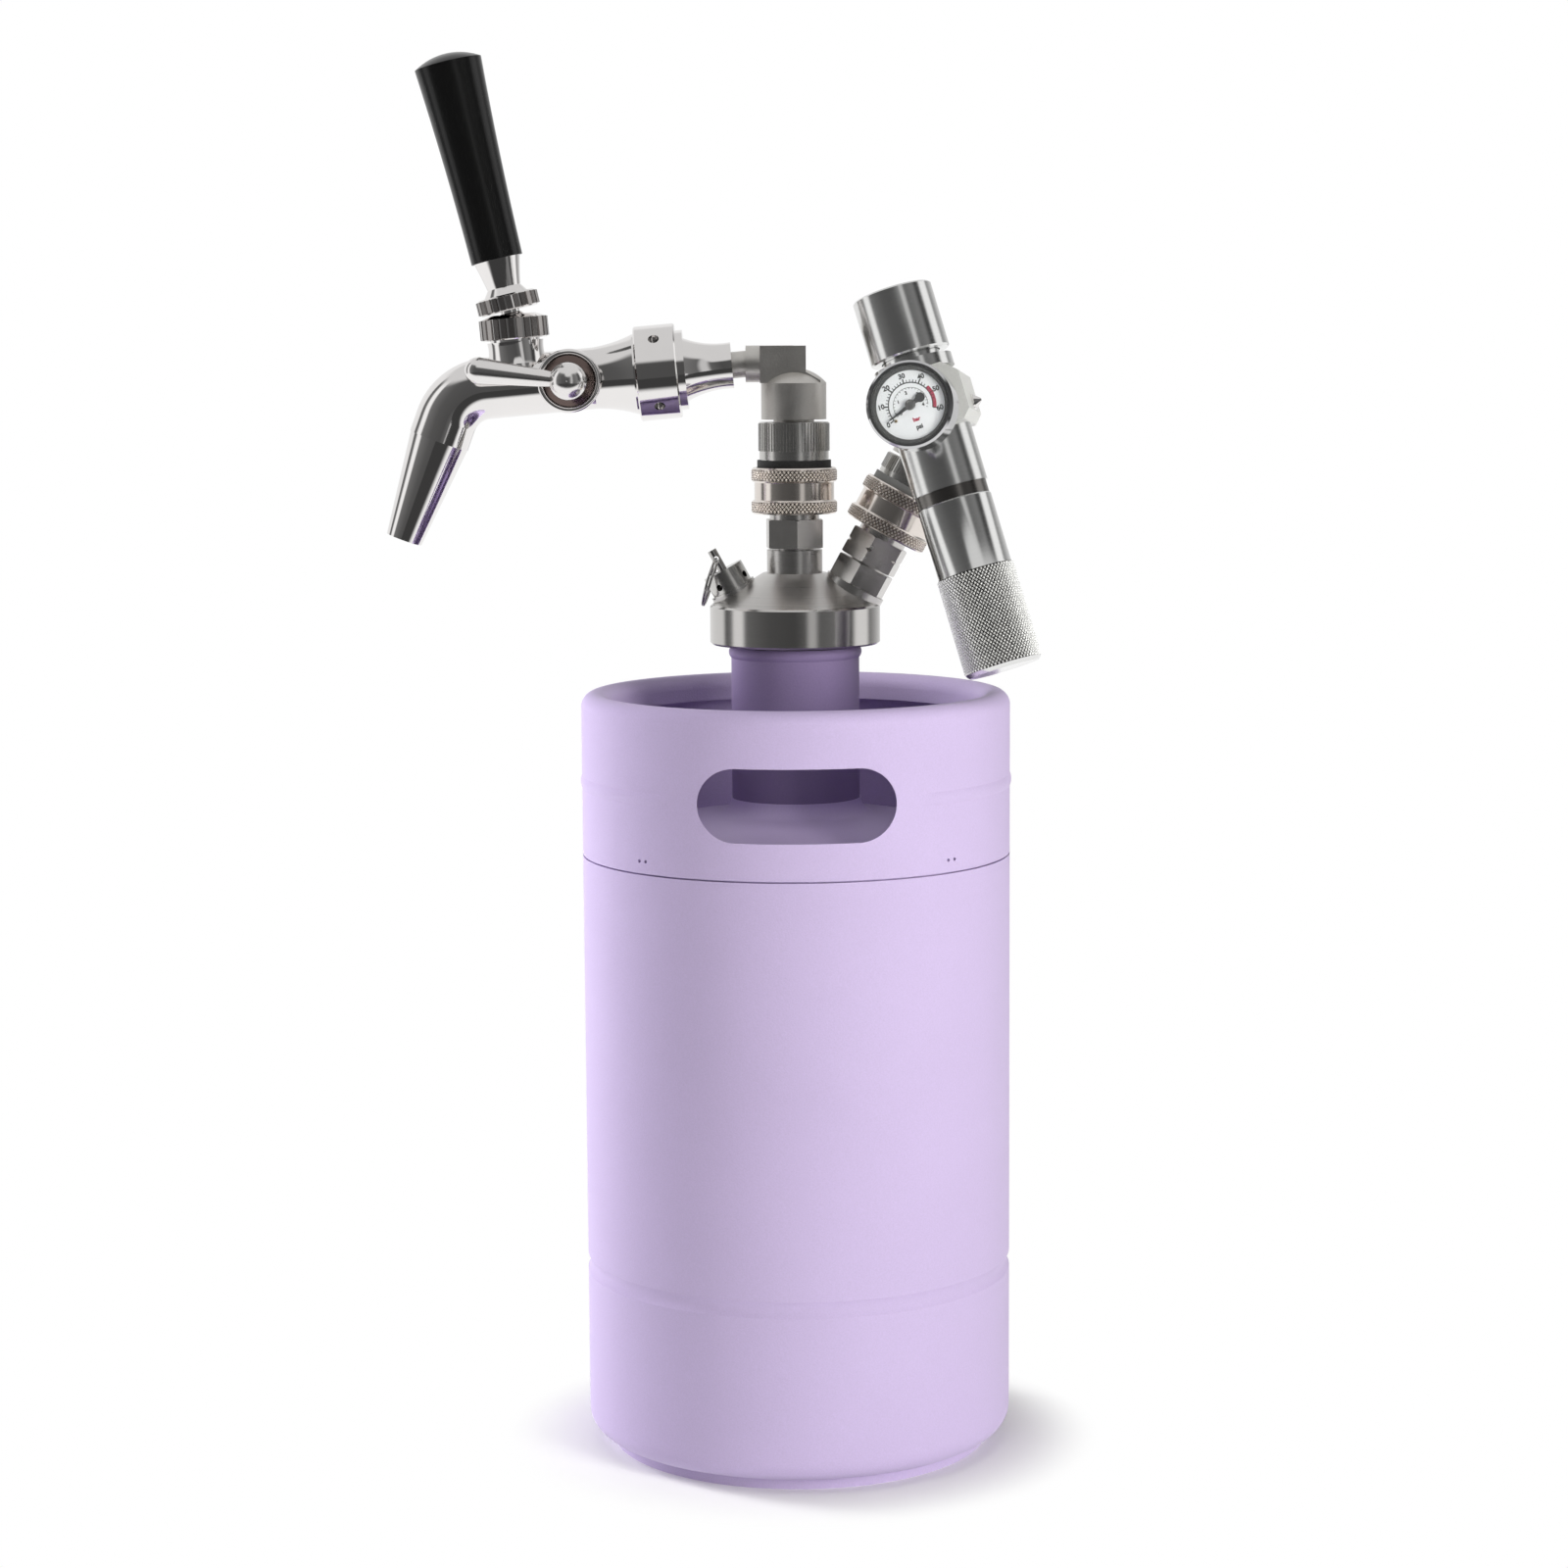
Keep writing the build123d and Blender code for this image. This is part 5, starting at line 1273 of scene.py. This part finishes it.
@dataclass
class Gauge:
    """Dial with its scale, needle and bezel ring."""

    matrix: Matrix
    face: float = 36.5
    ink: Point = (0.01, 0.05)
    sweep_start: float = 205.0
    sweep: float = 228.0
    arc_r: float = 7.7
    arc_steps: int = 60
    number_r: float = 10.5
    bar_number_r: float = 4.5
    highest: int = 60
    red_from: float = 46.0
    inner_to: float = 58.0
    tens: int = 10
    bars: int = 5
    psi_a_bar: float = 14.5
    letter_depth: float = 0.02
    letter_swell: float = 0.09
    letter_lift: float = 0.04
    rest: float = 200.0
    needle_lift: float = 0.5
    needle_thick: float = 0.3
    needle_tip: Point = (10.6, 0.0)
    needle_flank: tuple[Point, ...] = ((3.0, 0.6), (-2.4, 0.8))
    lobe_x: float = -4.3
    lobe_r: float = 1.7
    shaft_z: float = 34.0
    stop_place: Triple = (-6.6, -3.9, 0.0)

    def _angle(self, psi: float) -> float:
        """Direction of a reading on the dial, in radians."""
        return math.radians(self.sweep_start - self.sweep * psi / self.highest)

    def _spot(self, psi: float, radius: float) -> Point:
        """Place on the dial beside a reading."""
        angle = self._angle(psi)
        return radius * math.cos(angle), radius * math.sin(angle)

    def _arc(self, shop: Workshop, name: str, offsets: Point, readings: Point, finish: Finish) -> None:
        """Builds a printed arc.

        Args:
            shop: the workshop.
            name: name of the piece.
            offsets: its inner and outer edge, from the scale's radius.
            readings: its first and last reading.
            finish: its ink.
        """
        inner, outer = (self.arc_r + offset for offset in offsets)
        low, high = ((self.face + level) * MM for level in self.ink)
        start, end = readings
        mesh = bmesh.new()
        rows = []
        for step in range(self.arc_steps + 1):
            angle = self._angle(start + (end - start) * step / self.arc_steps)
            x, y = math.cos(angle) * MM, math.sin(angle) * MM
            corners = ((inner, low), (outer, low), (outer, high), (inner, high))
            rows.append([mesh.verts.new((x * radius, y * radius, height)) for radius, height in corners])
        skin(mesh, rows)
        shop.fit(solid(name, mesh), self.matrix, "regulator", finish)

    def _ticks(
        self, shop: Workshop, name: str, count: int, offset: float, length: float, width: float
    ) -> None:
        """Builds a row of scale marks that stand outwards.

        Args:
            shop: the workshop.
            name: name of the piece.
            count: marks from zero to the end of the scale.
            offset: where they start, from the scale's radius.
            length: how long they are.
            width: how wide they are.
        """
        half = width / 2
        outline = ((0, -half), (length, -half), (length, half), (0, half))
        corners = [(*corner, level) for level in self.ink for corner in outline]
        mark = shop.tooth(f"{name}_mark", corners, BOX_FACES)
        core = empty_core(name)
        shop.repeat(
            core,
            mark,
            Finish.INK,
            Count=count,
            Radius=self.arc_r + offset,
            Start=self._angle(0),
            Step=-math.radians(self.sweep) / (count - 1),
            Low=self.face,
        )
        shop.fit(core, self.matrix, "regulator", Finish.INK)

    def _word(self, shop: Workshop, name: str, text: str, size: float, place: Point, finish: Finish) -> None:
        """Prints a number or a unit on the dial.

        Args:
            shop: the workshop.
            name: name of the piece.
            text: what it says.
            size: letter size in millimetres.
            place: its middle on the dial.
            finish: its ink.
        """
        curve = bpy.data.curves.new(name, "FONT")
        curve.body = text
        curve.size = size * MM
        curve.align_x = "CENTER"
        curve.align_y = "CENTER"
        curve.extrude = self.letter_depth * MM
        curve.offset = self.letter_swell * MM
        item = solid(name, from_curve(curve))
        item.data.transform(Matrix.Translation(Vector((*place, self.face + self.letter_lift)) * MM))
        shop.fit(item, self.matrix, "regulator", finish)

    def scale(self, shop: Workshop) -> None:
        """Builds the printed scale: arcs, marks, numbers and units."""
        self._arc(shop, "scale_arc", (0.0, 0.4), (0.0, self.highest), Finish.INK)
        self._arc(shop, "scale_red", (0.1, 1.5), (self.red_from, self.highest), Finish.RED_INK)
        self._arc(shop, "inner_arc", (-1.6, -1.45), (0.0, self.inner_to), Finish.INK)
        self._ticks(shop, "fine_marks", 31, offset=0.3, length=0.9, width=0.28)
        self._ticks(shop, "long_marks", 7, offset=0.3, length=1.5, width=0.45)
        self._ticks(shop, "inner_marks", 21, offset=-2.1, length=0.6, width=0.18)
        for psi in range(0, self.highest + 1, self.tens):
            self._word(shop, f"number_{psi}", str(psi), 2.4, self._spot(psi, self.number_r), Finish.INK)
        for bar in range(self.bars):
            place = self._spot(bar * self.psi_a_bar, self.bar_number_r)
            self._word(shop, f"bar_number_{bar}", str(bar), 1.6, place, Finish.INK)
        self._word(shop, "unit_bar", "bar", 2.0, (0.6, -5.4), Finish.RED_INK)
        self._word(shop, "unit_psi", "psi", 2.2, (0.9, -8.2), Finish.INK)

    def needle(self, shop: Workshop) -> None:
        """Builds the needle with its lobed tail, its hub and the pin that stops it."""
        base = self.face + self.needle_lift
        lobe = [
            (self.lobe_x + self.lobe_r * math.cos(angle), self.lobe_r * math.sin(angle))
            for angle in (math.radians(degrees) for degrees in range(40, 321, 20))
        ]
        mirrored = [(x, -y) for x, y in reversed(self.needle_flank)]
        turn = math.radians(self.rest)
        mesh = bmesh.new()
        low, high = [], []
        for x, y in (self.needle_tip, *self.needle_flank, *lobe, *mirrored):
            px = x * math.cos(turn) - y * math.sin(turn)
            py = x * math.sin(turn) + y * math.cos(turn)
            low.append(mesh.verts.new(Vector((px, py, base)) * MM))
            high.append(mesh.verts.new(Vector((px, py, base + self.needle_thick)) * MM))
        skin(mesh, [low, high])
        blade = solid("needle_blade", mesh)
        shop.fit(blade, self.matrix, "needle", Finish.INK, "gauge_needle")
        hub = (
            *((0.6, self.shaft_z), (0.6, base), (1.9, base)),
            *((1.9, base + 0.55), (1.7, base + 0.75), (1.35, base + 0.75)),
            *((1.2, base + 0.6), (0.0, base + 0.6), (0.0, self.shaft_z)),
        )
        shop.fit(solid("needle_hub", lathe(hub, 48)), self.matrix, "needle", Finish.WIRE)
        pin = ((0.0, 0.0), (0.55, 0.0), (0.55, 0.42), (0.35, 0.5), (0.0, 0.5))
        stop = solid("needle_stop", lathe([(radius, self.face + rise) for radius, rise in pin], 24))
        stop.data.transform(Matrix.Translation(Vector(self.stop_place) * MM))
        shop.fit(stop, self.matrix, "regulator", Finish.BRASS)

    def bezel(self, shop: Workshop) -> None:
        """Builds the black ring between the dial and the case's rim."""
        low = self.face + 0.05
        ring = lathe(((12.2, low), (13.9, low), (13.9, 38.1), (13.3, 38.1), (12.2, 37.3)), 96)
        shop.fit(solid("dial_ring", ring), self.matrix, "regulator", Finish.RUBBER)

    def build(self, shop: Workshop) -> None:
        """Builds and dresses the gauge."""
        self.scale(shop)
        self.needle(shop)
        self.bezel(shop)
        shop.dress(Finish.BEZEL, "gauge_case")
        shop.dress(Finish.ENAMEL, "gauge_dial")
        shop.dress(Finish.GLASS, "gauge_lens")


@dataclass
class Regulator:
    """Gas regulator with its knob, gauge and knurled cartridge sleeve."""

    matrix: Matrix = field(default_factory=lambda: placed(REGULATOR_PLACE, REGULATOR_SIDE, REGULATOR_AXIS))
    plate_travel: float = 1.55
    tube_end: float = -28.5
    groove_r: float = 13.1
    groove_proud: float = 0.1
    groove_ends: Point = (0.15, 0.05)
    sleeve_top: float = -33.2
    plain_end: float = -58.7
    sleeve_end: float = -96.0
    sleeve_floor: float = 2.2
    sleeve_edge: float = 0.4
    thread_r: float = 12.12
    thread_l: float = 7.9
    bore_r: float = 11.25
    plain_r: float = 13.6
    knurls: int = 62
    knurl_r: float = 13.76
    knurl_depth: float = 0.52
    knurl_share: float = 0.80
    knurl_ratio: float = 1.25
    knurl_ends: Point = (1.6, 0.6)
    root_proud: float = 0.10

    def sleeve(self, shop: Workshop) -> None:
        """Builds the cartridge sleeve: plain above, diamond-knurled below."""
        top, bottom = self.sleeve_top, self.sleeve_end
        knurl_low, knurl_high = bottom + self.knurl_ends[0], self.plain_end - self.knurl_ends[1]
        outline = (
            (self.thread_r, top),
            (self.plain_r - self.sleeve_edge, top),
            (self.plain_r, top - self.sleeve_edge),
            (self.plain_r, self.plain_end),
            (self.knurl_r, self.plain_end - 0.3),
            (self.knurl_r, bottom + 1.5),
            (self.knurl_r + 0.24, bottom + 1.4),
            (self.knurl_r - 0.06, bottom + 0.9),
            (self.knurl_r - 0.96, bottom),
            (0.0, bottom),
            (0.0, bottom + self.sleeve_floor),
            (self.bore_r, bottom + self.sleeve_floor),
            (self.bore_r, top - self.thread_l),
            (self.thread_r, top - self.thread_l),
        )
        core = solid("knurled_sleeve", lathe(outline))
        step = 2 * math.pi / self.knurls
        width = self.knurl_r * step
        height = width * self.knurl_ratio
        share = self.knurl_share
        pyramid = shop.diamond("sleeve_knurl", width * share, height * share, self.knurl_depth)
        knurl = empty_core("sleeve_knurls")
        shop.repeat(
            knurl,
            pyramid,
            Finish.KNURLED,
            Count=self.knurls,
            Rows=int((knurl_high - knurl_low) / (height / 2)),
            Radius=self.knurl_r,
            Step=step,
            Low=knurl_low + height / 4,
            Rise=height / 2,
        )
        shop.fit(core, self.matrix, "holder", Finish.ALUMINIUM, "cartridge_sleeve")
        shop.fit(knurl, self.matrix, "holder", Finish.KNURLED)
        # The dark band under the teeth is painted shade for the gaps between them.
        root = band("sleeve_knurl_root", self.knurl_r, self.root_proud, knurl_low, knurl_high)
        shop.fit(root, self.matrix, "holder", Finish.KNURL_ROOT)

    def groove(self, shop: Workshop) -> None:
        """Builds the dark band in the groove above the sleeve."""
        low, high = self.sleeve_top + self.groove_ends[0], self.tube_end - self.groove_ends[1]
        ring = band("groove_band", self.groove_r, self.groove_proud, low, high)
        shop.fit(ring, self.matrix, "regulator", Finish.GROOVE)

    def build(self, shop: Workshop) -> None:
        """Builds the sleeve and gauge and dresses the regulator's solids."""
        self.sleeve(shop)
        self.groove(shop)
        Gauge(self.matrix @ Matrix.Rotation(math.radians(90), 4, "X")).build(shop)
        shop.dress(Finish.BLOCK, "regulator_body")
        shop.dress(Finish.ALUMINIUM, "regulator_bonnet", "regulator_knob", "regulator_piston", "spring_plate")
        down = tuple(-self.matrix.col[2].to_3d())
        Spring("regulator_spring", "regulator", "knob_turn", down, self.plate_travel).build(shop)
        shop.dress(Finish.STEEL, "co2_cartridge")
        shop.dress(Finish.BRIGHT, "relief_valve")


@dataclass
class Studio:
    """White floor, soft lamps, a banded dome for the metal to mirror, and the camera."""

    camera_place: Triple = (-0.0045, -1.318, 0.417)
    pitch: float = 7.236
    roll: float = -0.36
    lens: float = 81.38
    sensor: float = 36.0
    floor_size: float = 6.0
    floor_tones: Point = (0.90, 0.92)
    shadow_reach: Point = (0.080, 0.115)
    dark_front: Point = (0.36, 0.60)
    dark_tone: float = 0.05
    sky_level: float = 0.24
    aim: Triple = (0.0, 0.0, 0.28)
    lamps: tuple[tuple[str, Triple, Point, float, Triple], ...] = (
        ("left_box", (-1.36, 0.64, 0.45), (0.4, 1.2), 37.0, (1.0, 1.0, 1.0)),
        ("right_box", (1.05, -1.15, 0.40), (0.5, 1.2), 27.0, (1.0, 1.0, 0.93)),
        ("top_box", (0.0, -0.5, 1.9), (0.9, 0.9), 5.0, (1.0, 1.0, 1.0)),
    )
    dome_r: float = 1.75
    dome_z: float = 0.3
    dome_steps: tuple[int, int] = (96, 48)
    dome_aside: Point = (0.02, 0.20)
    dome_drop: float = 0.22
    dome_top: Point = (0.42, 0.56)
    top_tone: float = 0.72
    bands: tuple[Point, ...] = (
        *((-180.0, 0.90), (-114.0, 0.90), (-107.0, 0.10), (-96.0, 0.22), (-90.0, 1.00), (-76.0, 1.00)),
        *((-70.0, 0.18), (-35.0, 0.10), (0.0, 0.08), (14.0, 0.13), (19.0, 0.60), (26.0, 0.60)),
        *((32.0, 0.14), (60.0, 0.22), (72.0, 0.05), (82.0, 0.06), (90.0, 1.00), (112.0, 1.00)),
        *((120.0, 0.25), (145.0, 0.60), (180.0, 0.90)),
    )

    def floor(self) -> None:
        """Builds the floor: white to the camera further out, with the keg's shadow close to it."""
        mesh = bmesh.new()
        bmesh.ops.create_grid(mesh, x_segments=1, y_segments=1, size=self.floor_size)
        item = solid("studio_floor", mesh)
        surface = Surface("floor_white")
        tone = surface.noise(3.0)
        surface.drive("Base Color", surface.tones(tone, WHITE[:3], self.floor_tones))
        surface.constant(Roughness=0.9, Specular_IOR_Level=0.0)
        path = surface.tree.nodes.new("ShaderNodeLightPath")
        camera, glossy, through = (
            Sock(surface, path.outputs[f"Is {kind} Ray"]) for kind in ("Camera", "Glossy", "Transmission")
        )
        reach = surface.add("ShaderNodeVectorMath", {"operation": "LENGTH"}, {0: surface.place}, "Value")
        away = surface.fade(reach, *self.shadow_reach)
        front = surface.fade(surface.along((0.0, -1.0, 0.0)), *self.dark_front) * glossy
        colour = surface.mix(front, WHITE, grey(self.dark_tone))
        glow = surface.add("ShaderNodeEmission", None, {"Color": colour})
        share = surface.add("ShaderNodeClamp", None, {0: camera * away + glossy + through})
        shown = surface.add(
            "ShaderNodeMixShader", None, {0: share, 1: Sock(surface, surface.shader.outputs[0]), 2: glow}
        )
        surface.tree.links.new(shown.socket, surface.tree.nodes["Material Output"].inputs["Surface"])
        item.data.materials.append(surface.material)

    def sky(self) -> None:
        """Lights the scene evenly and shows white behind the keg."""
        world = bpy.data.worlds.new("studio_sky")
        bpy.context.scene.world = world
        world.use_nodes = True
        graph = Graph(world.node_tree)
        path = world.node_tree.nodes.new("ShaderNodeLightPath")
        seen = Sock(graph, path.outputs["Is Camera Ray"]) + Sock(graph, path.outputs["Is Glossy Ray"])
        seen = seen + Sock(graph, path.outputs["Is Transmission Ray"])
        share = graph.add("ShaderNodeClamp", None, {0: seen})
        strength = self.sky_level + share * (1 - self.sky_level)
        back = world.node_tree.nodes["Background"]
        back.inputs["Color"].default_value = WHITE
        world.node_tree.links.new(strength.socket, back.inputs["Strength"])

    def lamp(self, name: str, place: Triple, size: Point, power: float, colour: Triple) -> None:
        """Hangs a soft box that faces the keg's middle.

        Args:
            name: name of the lamp.
            place: where it hangs, in metres.
            size: its width and height.
            power: its strength in watts.
            colour: its colour.
        """
        light = bpy.data.lights.new(name, "AREA")
        light.color = colour
        light.shape = "RECTANGLE"
        light.size, light.size_y = size
        light.energy = power
        item = bpy.data.objects.new(name, light)
        item.location = place
        item.visible_glossy = False
        item.rotation_euler = (Vector(self.aim) - Vector(place)).to_track_quat("-Z", "Y").to_euler()
        bpy.context.collection.objects.link(item)

    def dome(self) -> None:
        """Hangs a dome of light and dark bands that only reflections see."""
        around, upwards = self.dome_steps
        mesh = bmesh.new()
        bmesh.ops.create_uvsphere(mesh, u_segments=around, v_segments=upwards, radius=self.dome_r)
        bmesh.ops.translate(mesh, vec=(0.0, 0.0, self.dome_z), verts=mesh.verts)
        item = solid("studio_dome", mesh)
        surface = Surface("dome_cloth")
        right = surface.along((1.0, 0.0, 0.0))
        near = surface.along((0.0, -1.0, 0.0))
        rise = surface.along((0.0, 0.0, 1.0)) - self.dome_z
        turn = surface.add(surface.math_node, {"operation": "ARCTAN2"}, {0: right, 1: near})
        stops = [((angle + 180.0) / 360.0, grey(tone)) for angle, tone in self.bands]
        cloth = surface.add("ShaderNodeValToRGB", {"stops": stops}, {0: turn / (2 * math.pi) + 0.5})
        aside = surface.fade(turn * turn, *self.dome_aside)
        top = surface.fade(rise / self.dome_r - aside * self.dome_drop, *self.dome_top)
        surface.drive("Emission Color", surface.mix(top, cloth, grey(self.top_tone)))
        surface.constant(Base_Color=grey(0.0), Emission_Strength=1.0, Specular_IOR_Level=0.0)
        item.data.materials.append(surface.material)
        item.visible_camera = False
        item.visible_diffuse = False
        item.visible_shadow = False
        item.visible_transmission = False

    def camera(self) -> None:
        """Sets the camera where the photograph was taken from."""
        data = bpy.data.cameras.new("photo_camera")
        data.lens = self.lens
        data.sensor_width = self.sensor
        item = bpy.data.objects.new("photo_camera", data)
        item.location = self.camera_place
        tilt = Matrix.Rotation(math.radians(90.0 - self.pitch), 4, "X")
        turn = Matrix.Rotation(math.radians(self.roll), 4, "Z")
        item.rotation_euler = (tilt @ turn).to_euler()
        bpy.context.collection.objects.link(item)
        bpy.context.scene.camera = item

    def build(self) -> None:
        """Builds the studio."""
        self.floor()
        self.sky()
        for row in self.lamps:
            self.lamp(*row)
        self.dome()
        self.camera()
        bpy.context.scene.view_settings.view_transform = "Standard"


def main() -> None:
    """Builds the keg's looks and its studio."""
    logging.basicConfig(level=logging.INFO, format="%(name)s %(message)s")
    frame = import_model()
    shop = Workshop(frame)
    liquid = placed((0, 0, 329.0), (1, 0, 0), (0, 0, 1))
    gas = placed((22.67446, 0, 323.99498), (0.20606, 0.97196, -0.11328), (0.48175, 0, 0.87631))
    KegShell().build(shop)
    Head().build(shop)
    Disconnect("liquid", liquid, "tap", "liquid_sleeve").build(shop)
    Disconnect("gas", gas, "regulator", "gas_sleeve", grip_low=43.7, grip_high=49.4).build(shop)
    Tap().build(shop)
    Regulator().build(shop)
    shop.clear_spares()
    Studio().build()


if __name__ == "__main__":
    main()
